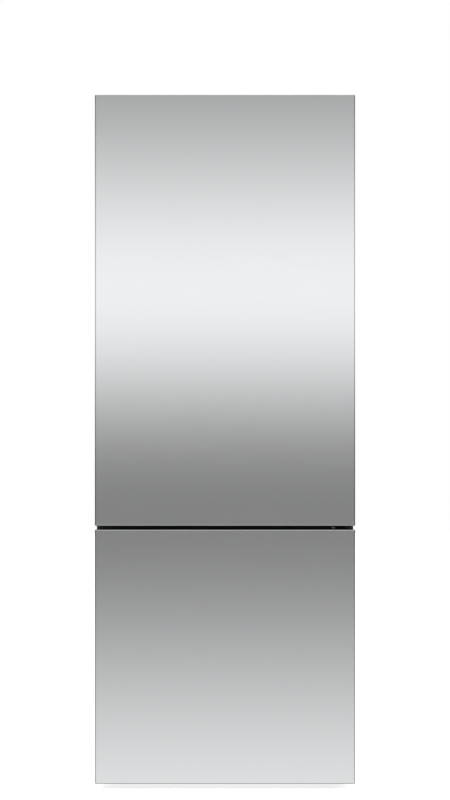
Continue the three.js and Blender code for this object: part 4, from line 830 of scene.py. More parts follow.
def makeRear():
    v = rearValues
    (x0, y0, z0), (x1, y1, z1) = nodeBox("rear_panel")
    rim, level, inset = v["border"], y1 - v["rise"], v["screwInset"]
    half, tall = v["beadHalf"], v["beadTall"]
    bm, beads, screws, slats, pins = (bmesh.new() for _ in range(5))
    addStack(bm, "y", (x0, x1, z0, z1), [
        (y0, 0, 2), (level, 0, 2), (level, rim, 12), (level + 0.25, rim + 0.5, 12),
        (y1 - 0.1, rim + 1.6, 12), (y1, rim + 2.4, 12)], steps=4)
    makePiece("rearPanel", bm, zinc, stands="rear_panel", limit=50)
    for z in v["beads"]:
        addStack(beads, "y", (-half, half, z - tall, z + tall),
                 [(-0.3, 0), (0.6, 0.7), (1.5, 2.2), (1.9, 4.6)], 7, 6, base=y1)
    makePiece("rearPanelBeads", beads, zinc)
    left, right, under, over = x0 + inset, x1 - inset, z0 + inset, z1 - inset
    spots = [(x, under + (over - under) * i / (v["screwRows"] - 1)) for i in range(v["screwRows"])
             for x in (left, right)] + [(x, z) for x in v["screwColumns"] for z in (under, over)]
    for x, z in spots:
        addScrew(screws, "y", 1, level, x, z, v["screw"])
    # compressor cover: its screws, the slats behind its slots and the pins of the mains inlet
    (x0, _, z0), (x1, y1, z1) = nodeBox("compressor_cover")
    inset, plate = v["coverInset"], coverPlate
    for x in (x0 + inset, *v["coverColumns"], x1 - inset):
        for z in (z0 + inset, z1 - inset):
            addScrew(screws, "y", 1, y1, x, z, v["screw"])
    makePiece("rearScrews", screws, screwZinc)
    for start, end in v["slats"]:
        for row in range(plate["rows"]):
            addPrism(slats, "x", [(-0.4, 7.6), (-0.4, 8.6), (-1.4, 8.8), (-9, 1.4), (-9, 0.2),
                                  (-8, 0.2)],
                     start, end, at=(y1, z0 + plate["first"] + row * plate["pitch"]))
    makePiece("compressorCoverSlats", slats, darkAbs, edge=0.2)
    for dx, dz in v["pins"]:
        x, z = plate["inletX"] + dx, z0 + plate["inletRise"] + dz
        addBlock(pins, x - 1, x + 1, y1 - plate["inletDeep"], y1 - 8, z - 2, z + 2)
    makePiece("inletPins", pins, screwZinc, edge=0.4)


hingeValues = {"top": ((247, -243), (272, -243), (297, -236)),
               "flange": ((268, 645.5), (268, 633.5)),
               "under": ((290.5, -190), (304.5, -190)), "washer": 7.5, "hole": 5.4, "nylon": 1.2}


def makeHingeFittings():
    v, steel = hingeValues, hingeSteel
    top, shell = nodeBox("top_hinge")[1][2] - 0.5, nodeBox("cabinet_shell")[0]
    screws, washers = bmesh.new(), bmesh.new()
    for x, y in v["top"]:
        addScrew(screws, "z", 1, top, x, y, 4.2)
    for x, z in v["flange"]:
        addScrew(screws, "y", -1, shell[1] - 3.25, x, z, 3.6)
    for x, y in v["under"]:
        addScrew(screws, "z", -1, shell[2] - 4.25, x, y, 3.6)
    makePiece("hingeScrews", screws, screwZinc)
    # a nylon thrust washer lies on each plate that carries a door
    r, hole, thick = v["washer"], v["hole"], v["nylon"]
    for level in (nodeBox("middle_hinge")[0][2] + 24.5, nodeBox("bottom_hinge")[0][2] + 4):
        addTurned(washers, "z", [(hole, 0), (r, 0), (r, thick), (hole, thick)], steel["x"],
                  steel["y"], 24, ring=True, base=level)
    makePiece("hingeWashers", washers, greyAbs)


baseValues = {"front": -272.25, "rear": 345.75, "under": 30.0, "sheet": 2.0, "roomFront": 100.0,
              "roomTop": 264.0, "half": 316.25, "faceHalf": 287.25, "faceTop": 84.0,
              "rollerX": 270.0, "rollerY": 290.0, "axleZ": 14.0, "axle": 4.0, "ear": 3.0,
              "earReach": 10.0, "earRound": 7.2, "footX": 250.0, "footY": -225.0, "bush": 11.0,
              "bore": 5.1, "ribX": 120.0, "ribHalf": 14.0, "ribEnds": (-235.0, 60.0)}


def makeBaseFrame():
    v = baseValues
    z, t, room, rear, front, roof = (v[key] for key in ("under", "sheet", "roomFront", "rear",
                                                        "front", "roomTop"))
    bm, holes, parts = bmesh.new(), bmesh.new(), bmesh.new()
    addPrism(bm, "x", [(front, z), (rear, z), (rear, z + t), (room, z + t), (room, roof - t),
                       (rear, roof - t), (rear, roof), (room - t, roof), (room - t, z + t),
                       (front, z + t)], -v["half"], v["half"])
    for side in (-1, 1):
        addRod(holes, "z", v["bore"], z - 2, z + t + 2, side * v["footX"], v["footY"], 24)
    makePiece("baseFrame", bm, zinc, stands="base_frame", limit=30, cutter=holes)
    addStack(parts, "y", (-v["faceHalf"], v["faceHalf"], z + 0.5, v["faceTop"]),
             [(t, 0), (0.5, 0), (0, 0.5)], 1.5, 3, base=front - 1.25)
    reach, thick, axle, bore, bush = v["earReach"], v["ear"], v["axle"], v["bore"], v["bush"]
    end, at = reach + thick + 2, (v["rollerY"], v["axleZ"])
    ear = [(-12, z + 1 - at[1]), (-12, 4), (-6, -5.4)] + arc(0, 0, v["earRound"], -125, -55, 5) \
        + [(6, -5.4), (12, 4), (12, z + 1 - at[1])]
    nut = [(bore, 1), (bush, 1), (bush, -1), (bush - 2, -2), (bush - 2.6, -7.4), (bush - 3.2, -8),
           (bore + 0.6, -8), (bore, -7.4)]
    for side in (-1, 1):
        x = side * v["rollerX"]
        for low in (x - reach - thick, x + reach):
            addPrism(parts, "x", ear, low, low + thick, at=at)
        addTurned(parts, "x", [(axle - 0.8, -end), (axle, 0.8 - end), (axle, end - 0.8),
                               (axle - 0.8, end)], *at, 24, base=x)
        addTurned(parts, "z", nut, side * v["footX"], v["footY"], 32, ring=True, base=z)
    # two pressed ribs stiffen the floor
    for side in (-1, 1):
        x, half = side * v["ribX"], v["ribHalf"]
        addStack(parts, "z", (x - half, x + half, *v["ribEnds"]),
                 [(0.5, 0), (-0.6, 0.8), (-1.8, 2.6), (-2, 5)], 12, base=z)
    makePiece("baseFrameFittings", parts, zinc, edge=0.35)


# thin black end caps are painted shade: they carry the dark band of the gap's shade to both sides,
# clear of the gaskets and the hinge
dividerValues = {"fold": 2.0, "half": 316.4, "hingeSide": 311.8, "low": 628.5, "high": 650.5,
                 "capFront": 0.9, "capBack": 0.2}


def makeDividerTrim():
    v = dividerValues
    (x0, y0, z0), (x1, y1, z1) = nodeBox("divider_trim")
    t, bm, ends = v["fold"], bmesh.new(), bmesh.new()
    bend = [(b, a) for a, b in quarter(t, 5)]
    addPrism(bm, "x", [(y1, z0)] + [(y0 + i, z0 + d) for i, d in bend]
             + [(y0 + i, z1 - d) for i, d in bend[::-1]]
             + [(y1, z1), (y1, z1 - t), (y0 + t, z1 - t), (y0 + t, z0 + t), (y1, z0 + t)], x0, x1)
    makePiece("dividerTrim", bm, blackCoat, stands="divider_trim", edge=0.2)
    # black caps stand in for the shade in the gap at both ends
    for a, b in ((-v["half"], x0 - 0.1), (v["hingeSide"], v["half"])):
        addBar(ends, "y", (a, b, v["low"], v["high"]), 1.5,
               (y0 - v["capFront"], y0 + v["capBack"]), 3)
    makePiece("dividerShadeCaps", ends, blackCoat, edge=0.2)


coverPlate = {"slots": ((30, 270), (-270, -110)), "rows": 9, "pitch": 17.0, "first": 38.0,
              "tall": 7.0, "inletX": -40.0, "inletRise": 60.0, "inletHalf": 13.0,
              "inletTall": 9.0, "inletWall": 5.0, "inletDeep": 22.0, "inletGap": 2.5, "flange": 1.2}


def makeCompressorCover():
    v = coverPlate
    (x0, back, z0), (x1, y1, z1) = nodeBox("compressor_cover")
    x, z = v["inletX"], z0 + v["inletRise"]
    wide, tall, gap = v["inletHalf"], v["inletTall"], v["inletGap"]
    bm, cutter, cup = bmesh.new(), bmesh.new(), bmesh.new()
    addStack(bm, "y", (x0, x1, z0, z1), [(-1.5, 0), (-0.5, 0), (0, 0.5)], 3, 4, base=y1)
    for a, b in v["slots"]:
        for row in range(v["rows"]):
            low = z0 + v["first"] + row * v["pitch"]
            addBar(cutter, "y", (a, b, low, low + v["tall"]), 3.4, (y1 - 5, y1 + 2), 5)
    addBar(cutter, "y", (x - wide - gap, x + wide + gap, z - tall - gap, z + tall + gap), 3,
           (y1 - 5, y1 + 2))
    makePiece("compressorCover", bm, darkAbs, stands="compressor_cover", edge=0.25, limit=40,
              cutter=cutter)
    wall, front = v["inletWall"], y1 + v["flange"]
    addStack(cup, "y", (x - wide, x + wide, z - tall, z + tall), [
        (back, 1.5 - wall, 3), (back + 1, 1 - wall, 4), (y1 + 0.1, 1 - wall, 4),
        (y1 + 0.1, -wall - 1, 5), (front - 0.5, -wall - 1, 5), (front, -wall - 0.4, 5),
        (front, -0.5, 3), (front - 0.5, 0, 3), (y1 - v["inletDeep"], 0, 3)])
    makePiece("mainsInlet", cup, darkAbs, limit=40)


hingeSteel = {"tongue": 14.0, "thick": 4.0, "pin": 5.0, "x": 297.5, "y": -307.5, "edge": 0.7,
              "foot": (-270.0, 309.5), "rib": (300.0, -259.5, -251.5), "flangeHalf": 11.0,
              "foldRoof": 29.75, "foldDeep": 40.0, "fold": (284, 311)}


def tongueOutline(back):
    v = hingeSteel
    return [(v["x"] + v["tongue"], back), (v["x"] - v["tongue"], back)] \
        + arc(v["x"], v["y"], v["tongue"], 180, 360, 16)


def pinProfile(low, high):
    r = hingeSteel["pin"]
    return [(r - 1.2, low), (r, low + 1.4), (r, high - 1.4), (r - 1.2, high)]


def addPinParts(bm, *profiles):
    for profile in profiles:
        addTurned(bm, "z", profile, hingeSteel["x"], hingeSteel["y"], 32)


def makeHinges():
    v = hingeSteel
    edge, thick = v["edge"], v["thick"]
    (x0, _, low), (_, back, high) = nodeBox("top_hinge")
    plate, (front, x1), (ribEnd, rib0, rib1) = high - thick, v["foot"], v["rib"]
    bm = bmesh.new()
    addPrism(bm, "z", tongueOutline(front + 2), plate, high)
    addBar(bm, "z", (x0, x1, front, back), 6, (plate, high - 0.5), 5)
    # pressed rib along the foot, and the pin's riveted head
    addBar(bm, "z", (x0 + 10, ribEnd, rib0, rib1), 3.8, (high - 1, high + 0.9), 5)
    addPinParts(bm, [(6.8, high - 0.5), (6.8, high + 0.5), (5.6, high + 1.3), (0.4, high + 1.5)],
                pinProfile(low, high - 1))
    makePiece("topHinge", bm, screwZinc, stands="top_hinge", edge=edge)
    (x0, _, low), (x1, face, high) = nodeBox("middle_hinge")
    z, half = (low + high) / 2, v["flangeHalf"]
    bm = bmesh.new()
    addPrism(bm, "z", tongueOutline(face - 1), z - thick / 2, z + thick / 2)
    addBar(bm, "y", (x0, x1, z - half, z + half), 4, (face - 3, face), 5)
    addPinParts(bm, pinProfile(low, high), *[
        [(7.2, z + way * 1.5), (7.2, z + way * 2.9), (6.6, z + way * 3.4), (4, z + way * 3.4)]
        for way in (-1, 1)])
    makePiece("middleHinge", bm, blackCoat, stands="middle_hinge", edge=edge)
    (_, _, low), (_, back, high) = nodeBox("bottom_hinge")
    roof, bend = v["foldRoof"], back - v["foldDeep"]
    bm = bmesh.new()
    addPrism(bm, "z", tongueOutline(bend), low, low + thick)
    addPrism(bm, "x", [(bend - 4.5, low + 0.5), (bend - 0.5, low + 0.5), (bend - 0.5, roof - 6),
                       (bend + 1.5, roof - 4), (back, roof - 4), (back, roof),
                       (bend - 2, roof), (bend - 4.5, roof - 2.5)], *v["fold"])
    addPinParts(bm, pinProfile(low + 1, high),
                [(7.6, low + 1), (7.6, low - 0.8), (6.6, low - 1.4), (0.4, low - 1.4)])
    makePiece("bottomHinge", bm, blackCoat, stands="bottom_hinge", edge=edge)


def makeHingeCover():
    (x0, y0, z0), (x1, y1, z1) = nodeBox("hinge_cover")
    levels = [(z1 - 2, 2), (z0, 2), (z0, 0), (z1 - 5, 0), (z1 - 3.6, 0.3), (z1 - 2, 1.1),
              (z1 - 0.8, 2.4), (z1 - 0.1, 4.4), (z1, 6.5)]
    bm = bmesh.new()
    addStack(bm, "z", (x0, x1, y0, y1), [(z, i, max(9 - i, 2.6)) for z, i in levels], steps=6)
    makePiece("hingeCover", bm, greyAbs, stands="hinge_cover", edge=0.3, limit=40,
              cuts=[((283, y0 - 2, z0 - 1), (312, y0 + 4, z0 + 4.5))])


makeCabinetShell()
makeLiners()
makeRear()
makeBaseFrame()
makeDividerTrim()
makeCompressorCover()
makeHinges()
makeHingeCover()
makeHingeFittings()
print("cabinet ready")

# fridge fittings
shelfValues = {"names": ("lower", "middle", "upper"), "round": 6.0, "polish": 0.9,
               "trimHalf": 256.5, "trimTop": 3.2, "trimDrop": 4.5, "trimReach": 5.0}


def makePane(name, node, low, high, radius, polish):
    z0, z1, rim = low[2], high[2], polish * 0.4
    bm = bmesh.new()
    addStack(bm, "z", (low[0], high[0], low[1], high[1]), [
        (z0, polish), (z0 + rim, polish * 0.25), (z0 + polish, 0), (z1 - polish, 0),
        (z1 - rim, polish * 0.25), (z1, polish)], radius)
    pane = makePiece(name, bm, glass, stands=node)
    pane.data.materials.append(glassEdge)
    for face in pane.data.polygons:
        face.material_index = 0 if abs(face.normal.z) > 0.99 else 1
        face.use_smooth = face.material_index == 1


def makeShelves():
    v = shelfValues
    trims, half = bmesh.new(), v["trimHalf"]
    for shelf in v["names"]:
        low, high = nodeBox("shelf_glass_" + shelf)
        makePane("shelfGlass" + shelf.title(), "shelf_glass_" + shelf, low, high,
                 v["round"], v["polish"])
        z0, z1, edge = low[2] - 0.3, high[2] + 0.3, low[1] - 0.3
        under, over, front = low[2] - v["trimDrop"], high[2] + v["trimTop"], low[1] - v["trimReach"]
        # front profile clips over the pane's edge, the one behind stands up as a stop
        addPrism(trims, "x", [(front, under + 2.2), (front + 2, under), (front + 14, under),
                              (front + 14, z0), (edge, z0), (edge, z1), (front + 15, z1),
                              (front + 15, z1 + 1.2), (front + 4, over), (front + 1.6, over),
                              (front, over - 2)], -half, half)
        addPrism(trims, "x", [(-9, under + 1.5), (1.8, under + 1.5), (1.8, over + 6),
                              (0.4, over + 7.4), (-1.2, over + 7.4), (-1.8, over), (-9, z1 + 1.3),
                              (-9, z1), (0.3, z1), (0.3, z0), (-9, z0)], -half, half,
                 at=(high[1], 0))
    makePiece("shelfTrims", trims, whitePs, edge=0.5)


coverValues = {"rail": 12.0, "drop": 14.0, "half": 257.0, "pane": 5.0, "slots": 7,
               "slotPitch": 8.5, "slotWide": 3.4, "slotTall": 5.5, "places": (-133.0, 133.0)}


def makeCrisperCover():
    v = coverValues
    low, high = nodeBox("crisper_cover")
    front, top, drop, wide, tall = low[1], high[2], v["drop"], v["slotWide"] / 2, v["slotTall"] / 2
    makePane("crisperCoverGlass", "crisper_cover",
             (low[0], front + v["rail"] + 0.4, top - v["pane"]), high, 4.0, 0.8)
    bm, slots = bmesh.new(), bmesh.new()
    addPrism(bm, "x", [(2.2, -drop), (12, -drop), (14, 1 - drop), (14, -5.3), (12.1, -5.3),
                       (12.1, 0), (3, 0), (1, -1), (0, -3), (0, 3 - drop), (0.8, 0.8 - drop)],
             -v["half"], v["half"], at=(front, top))
    slider = nodeBox("humidity_slider_left")
    z = (slider[0][2] + slider[1][2]) / 2
    for place in v["places"]:
        for i in range(v["slots"]):
            x = place + (i - (v["slots"] - 1) / 2) * v["slotPitch"]
            addBar(slots, "y", (x - wide, x + wide, z - tall, z + tall), 1.5,
                   (front - 1, front + 5), 3)
    makePiece("crisperCoverRail", bm, whitePs, edge=0.3, limit=40, cutter=slots)


sliderValues = {"corner": 2.5, "padHalf": 4.0, "ridges": (-2.0, 0.0, 2.0)}


def makeSlider(side):
    v = sliderValues
    node = "humidity_slider_" + side
    (x0, _, z0), (x1, back, z1) = nodeBox(node)
    x, pad, bm = (x0 + x1) / 2, v["padHalf"], bmesh.new()
    addStack(bm, "y", (x0, x1, z0, z1), [(0, 0), (-2.2, 0), (-2.8, 0.3), (-3, 0.9)], v["corner"], 4,
             base=back)
    # grip: a raised pad with three ridges
    addStack(bm, "y", (x - pad, x + pad, z0 + 1, z1 - 1), [(-2.6, 0), (-5.4, 0.5), (-6.2, 1.3)],
             1.4, 4, base=back)
    for dx in v["ridges"]:
        addPrism(bm, "z", [(-0.7, -5.8), (-0.4, -7.6), (0, -8), (0.4, -7.6), (0.7, -5.8)],
                 z0 + 1.8, z1 - 1.8, at=(x + dx, back))
    makePiece("humiditySlider" + side.title(), bm, darkAbs, node, node)


# a ring with grooves round it; a level is (level, radius, depth of the grooves)
def addGrooved(bm, axis, levels, grooves, a, b, base):
    steps = grooves * 4
    skinLoops(bm, [[onAxis(axis, base + level, a + (r - cut * (k % 4 > 1)) * math.cos(turn),
                           b + (r - cut * (k % 4 > 1)) * math.sin(turn))
                    for k, turn in ((k, 2 * math.pi * k / steps) for k in range(steps))]
                   for level, r, cut in levels])


# three flat arms a third of a turn apart, from one radius to another, with a half width at each
def addArms(bm, axis, a, b, ends, halves, low, high):
    for i in range(3):
        turn = math.radians(90 + 120 * i)
        across = Vector((-math.sin(turn), math.cos(turn)))
        along = Vector((math.cos(turn), math.sin(turn)))
        spots = [along * ends[end] + across * halves[end] * side
                 for end, side in ((0, -1), (1, -1), (1, 1), (0, 1))]
        addPrism(bm, axis, [(spot.x, spot.y) for spot in spots], low, high, at=(a, b))


# an open moulded tray: rounded corners, slanting walls, a rolled rim, one closed skin
def addTray(bm, low, high, values, rim=1.2, foot=5.0):
    (x0, y0, z0), (x1, y1, z1) = low, high
    wall, corner, slant = values["wall"], values["corner"], values["slant"]
    deep, lip = z0 + values["floor"], wall + rim

    def lean(z):
        return slant * (1 - (z - z0) / (z1 - z0))

    outside = [(z0, slant + foot, corner), (z0 + foot * 0.12, slant + foot * 0.5, corner),
               (z0 + foot * 0.5, slant + foot * 0.12, corner + 1),
               (z0 + foot, lean(z0 + foot), corner + 1),
               (z1 - 7, lean(z1 - 7) + rim * 0.55, corner + 1), (z1 - 5.5, 0, corner + 2),
               (z1 - 0.8, 0, corner + 2), (z1, 0.8, corner + 2), (z1, lip - 0.5, corner)]
    inside = [(z1 - 0.6, lip, corner), (z1 - 5, wall + rim * 0.55 + lean(z1 - 7), corner),
              (deep + foot, wall + lean(deep + foot), corner - wall + 1),
              (deep + foot * 0.5, wall + slant + foot * 0.15, corner - wall + 1),
              (deep + foot * 0.12, wall + slant + foot * 0.5, corner - wall),
              (deep, wall + slant + foot, corner - wall)]
    addStack(bm, "z", (x0, x1, y0, y1), [(z, inset, max(radius, 0.6))
                                         for z, inset, radius in outside + inside], steps=6)


# ribs from front to back on a floor, evenly spread between two sides
def addRibs(bm, x0, x1, count, profile, low, high, floor):
    for i in range(count):
        addPrism(bm, "y", profile, low, high, at=(x0 + (x1 - x0) * (i + 1) / (count + 1), floor))


crisperValues = {"wall": 2.5, "floor": 3.0, "corner": 9.0, "slant": 3.0, "grip": 20.0,
                 "gripReach": 9.0, "ribs": 5, "ribInset": 22.0}


def makeCrisper(side):
    v = crisperValues
    node = "crisper_" + side
    (x0, y0, z0), high = nodeBox(node)
    front, inset, bm = y0 + v["gripReach"], v["ribInset"], bmesh.new()
    addTray(bm, (x0, front, z0), high, v)
    # curled grip under the front rim
    addPrism(bm, "x", [(1.2, 0), (-6.5, 0), (-8.4, -0.8), (-9, -2.6), (-9, -8.5), (-8.2, -9.4),
                       (-7.2, -9.4), (-6.6, -8.6), (-6.6, -4), (-5.6, -2.8), (1.2, -2.6)],
             x0 + v["grip"], high[0] - v["grip"], at=(front, high[2] - 0.6))
    # ribs on the floor keep food out of the condensate
    addRibs(bm, x0, high[0], v["ribs"], [(-1.6, -0.4), (-0.8, 1.2), (0.8, 1.2), (1.6, -0.4)],
            front + inset, high[1] - inset, z0 + v["floor"])
    makePiece("crisper" + side.title(), bm, clearPs, node, node, limit=40)


ductValues = {"wall": 2.5, "round": 8.0, "vents": ((-90, -30), (30, 90)), "rise": 60.0,
              "ventTall": 10.0, "frameWide": 36.0, "frameTall": 10.0, "bars": 6, "barThick": 1.4}


def makeAirDuct():
    v = ductValues
    (x0, y0, z0), (x1, y1, z1) = nodeBox("air_duct")
    w, wide, tall, half = v["wall"], v["frameWide"], v["frameTall"], v["barThick"] / 2
    bm, vents, frames, bars = (bmesh.new() for _ in range(4))
    addStack(bm, "y", (x0, x1, z0, z1), [(y1, 0), (y0 + 5, 0), (y0 + 2.4, 0.6), (y0 + 0.7, 2.2),
                                         (y0, 5)], v["round"])
    for shelf in shelfValues["names"]:
        z = nodeBox("shelf_glass_" + shelf)[0][2] + v["rise"]
        for a, b in v["vents"]:
            addBar(vents, "y", (a, b, z, z + v["ventTall"]), 4, (y0 - 2, y0 + 4), 5)
            # a shallow frame round each vent, and bars across it
            middle, level = (a + b) / 2, z + v["ventTall"] / 2
            addStack(frames, "y", (middle - wide, middle + wide, level - tall, level + tall),
                     [(d, i, 8 - i) for d, i in ((0.4, 0), (-0.5, 0.3), (-0.9, 0.9), (-0.9, 1.9),
                                                 (-0.5, 2.5), (0.4, 2.8))], steps=6, ring=True,
                     base=y0)
            for i in range(v["bars"]):
                x = a + (b - a) * (i + 1) / (v["bars"] + 1)
                addBlock(bars, x - half, x + half, y0 + 0.5, y0 + 2.3, z - 0.4, z + 10.4)
    makePiece("airDuct", bm, whitePs, stands="air_duct", cutter=vents,
              cuts=[((x0 + w, y0 + w, z0 + w), (x1 - w, y1 + 2, z1 - w))])
    makePiece("ductVentFrames", frames, whitePs)
    makePiece("ductVentBars", bars, whitePs, edge=0.25)


def makeControlPanel():
    (x0, y0, z0), (x1, y1, z1) = nodeBox("control_panel")
    bm, bores = bmesh.new(), bmesh.new()
    addStack(bm, "z", (x0, x1, y0, y1), [(z1, 0), (z0 + 3, 0), (z0 + 1.4, 0.4), (z0 + 0.4, 1.4),
                                         (z0, 3)], 10, 6)
    for number in (1, 2):
        low, high = nodeBox(f"control_button_{number}")
        addRod(bores, "z", (high[0] - low[0]) / 2 + 0.3, z0 - 2, z0 + 8, (low[0] + high[0]) / 2,
               (low[1] + high[1]) / 2, 40)
    makePiece("controlPanel", bm, darkAbs, stands="control_panel", cutter=bores)


lensValues = {"ribs": 15, "ribTall": 1.0, "round": 12.0, "margin": 8.0}


def makeLens():
    v = lensValues
    (x0, y0, z0), (x1, y1, z1) = nodeBox("light_lens")
    low, margin, bm = z0 + v["ribTall"], v["margin"], bmesh.new()
    addStack(bm, "z", (x0, x1, y0, y1), [(z1, 0), (low + 3, 0), (low + 1.2, 0.9), (low + 0.3, 2.4),
                                         (low, 4.5)], v["round"], 6)
    pitch = (y1 - y0 - 2 * margin) / v["ribs"]
    for i in range(v["ribs"]):
        addPrism(bm, "x", [(-pitch * 0.42, low + 0.3), (0, z0), (pitch * 0.42, low + 0.3)],
                 x0 + margin, x1 - margin, at=(y0 + margin + pitch * (i + 0.5), 0))
    makePiece("lightLens", bm, frostedPs, stands="light_lens")


panelValues = {"window": (-62.0, 62.0), "windowTall": 7.0, "dots": 5, "dotPitch": 14.0,
               "dot": 1.1}


def makePanelFace():
    v = panelValues
    (_, y0, z0), (_, _, z1) = nodeBox("control_panel")
    z, tall, r = (z0 + z1) / 2, v["windowTall"] / 2, v["dot"]
    bm, dots = bmesh.new(), bmesh.new()
    addStack(bm, "y", (*v["window"], z - tall, z + tall), [(1.5, 0), (-0.2, 0), (-0.5, 0.5)], 3,
             base=y0)
    makePiece("controlWindow", bm, smokedAcrylic)
    for i in range(v["dots"]):
        addTurned(dots, "y", [(r, 0), (r, -0.7), (r * 0.7, -1.1), (0.2, -1.25)],
                  (i - (v["dots"] - 1) / 2) * v["dotPitch"], z, 14, base=y0)
    makePiece("controlIndicators", dots, indicatorLens)


def makeButton(number):
    node = f"control_button_{number}"
    (x0, y0, z0), (x1, y1, z1) = nodeBox(node)
    r, bm = (x1 - x0) / 2, bmesh.new()
    addTurned(bm, "z", [(r - 0.4, z1), (r, z1 - 0.4), (r, z0 + 0.9), (r - 0.25, z0 + 0.3),
                        (r - 0.9, z0), (r - 1.6, z0 + 0.1), (r * 0.5, z0 + 0.65), (0.3, z0 + 0.8)],
              (x0 + x1) / 2, (y0 + y1) / 2, 36)
    makePiece(f"controlButton{number}", bm, greyAbs, node, node)


# door bins hang on bosses by a ledge at each end
binValues = {"wall": 2.5, "floor": 3.0, "corner": 11.0, "slant": 2.0, "half": 224.0, "ribs": 9,
             "ledgeFront": -277.5, "ledgeBack": -247.5, "ledgeDrop": 30.0, "ledge": 6.0,
             "ledgeEnd": 232.0, "lidY": -271.5, "earHalf": 7.0, "pivotRise": 6.0, "pivot": 2.3,
             "band": 0.7, "bandLow": 11.0, "bandHigh": 1.4, "bandReach": 34.0, "bandBend": 13.0}


def makeBin(kind, height):
    v = binValues
    node = kind + "_bin"
    low, high = nodeBox(node)
    half, top, bm = v["half"], low[2] + height, bmesh.new()
    addTray(bm, (-half, low[1], low[2]), (half, high[1], top), v)
    addRibs(bm, -half, half, v["ribs"], [(-1.5, -0.4), (-0.8, 1), (0.8, 1), (1.5, -0.4)],
            low[1] + 16, high[1] - 16, low[2] + v["floor"])
    ledge, pivot, bores = top - v["ledgeDrop"], top + v["pivotRise"], None
    for side in (-1, 1):
        addBar(bm, "x", (v["ledgeFront"], v["ledgeBack"], ledge, ledge + v["ledge"]), 1.5,
               (side * (half - 1.6), side * v["ledgeEnd"]), 3)
    if kind == "dairy":
        # ears hold the lid's pins
        ear = [(-v["earHalf"], -v["pivotRise"] - 4), (v["earHalf"], -v["pivotRise"] - 4)]
        ear += [(6 * math.cos(math.radians(22.5 * i)), 5.6 * math.sin(math.radians(22.5 * i)))
                for i in range(9)]
        for side in (-1, 1):
            addPrism(bm, "x", ear, *sorted((side * (half - 4.5), side * half)),
                     at=(v["lidY"], pivot))
        bores = bmesh.new()
        addRod(bores, "x", v["pivot"], -240, 240, v["lidY"], pivot, 16)
    makePiece(kind + "Bin", bm, clearPs, node, node, limit=40, cutter=bores)
    # a white clip-on band round the front of the rim
    bm = bmesh.new()
    bend, y1 = v["bandBend"], high[1]
    end = y1 - v["bandReach"]
    outer, inner = [], []
    for side, start in ((-1, 180), (1, 90)):
        for i in range(9):
            turn = math.radians(start - 90 * i / 8)
            for line, reach in ((outer, bend + v["band"]), (inner, bend - 0.1)):
                line.append((side * (half - bend) + reach * math.cos(turn),
                             y1 - bend + reach * math.sin(turn)))
    out = half + v["band"]
    addPrism(bm, "z", [(-out, end)] + outer + [(out, end), (half - 0.1, end)] + inner[::-1]
             + [(0.1 - half, end)], top - v["bandLow"], top - v["bandHigh"])
    makePiece(kind + "BinBand", bm, whitePs, node, edge=0.3)


lidValues = {"pivotY": -271.5, "half": 217.0, "thick": 2.5, "round": 7.0, "barrel": 4.0,
             "pin": 2.0, "pinEnd": 223.0}


def makeDairyLid():
    v = lidValues
    (_, _, z0), (_, y1, z1) = nodeBox("dairy_lid")
    pivotZ = z1 - v["barrel"]
    r, t = v["round"], v["thick"]
    arc = [math.radians(90 - 15 * i) for i in range(7)]
    outer = [(y1 - r + r * math.cos(a), z1 - r + r * math.sin(a)) for a in arc]
    inner = [(y1 - r + (r - t) * math.cos(a), z1 - r + (r - t) * math.sin(a)) for a in arc]
    outline = [(v["pivotY"], z1 - t), (v["pivotY"], z1)] + outer
    # the flap ends in a small pull
    outline += [(y1, z0 + 6), (y1 + 2.2, z0 + 3), (y1 + 2.6, z0 + 0.8), (y1 + 1.6, z0),
                (y1 - t, z0), (y1 - t, z0 + 8)] + inner[::-1]
    bm = bmesh.new()
    addPrism(bm, "x", outline, -v["half"], v["half"])
    addRod(bm, "x", v["barrel"], -v["half"], v["half"], v["pivotY"], pivotZ, 24)
    addRod(bm, "x", v["pin"], -v["pinEnd"], v["pinEnd"], v["pivotY"], pivotZ, 16)
    makePiece("dairyLid", bm, frostedPs, "dairy_lid", "dairy_lid", edge=0.5)


makeShelves()
makeCrisperCover()
makeAirDuct()
makeControlPanel()
makeLens()
makePanelFace()
for side in ("left", "right"):
    makeSlider(side)
    makeCrisper(side)
for number in (1, 2):
    makeButton(number)
for kind, height in (("bottle", 110), ("middle", 85), ("dairy", 80)):
    makeBin(kind, height)
makeDairyLid()
print("fridge ready")

# freezer fittings
drawerValues = {"half": 244.0, "wall": 2.5, "floor": 3.0, "corner": 12.0, "slant": 3.0,
                "lip": 9.0, "flange": 252.5, "flangeDrop": 10.0, "flangeThick": 3.0,
                "ridges": 3, "ridgePitch": 4.5, "ridgeDrop": 26.0}


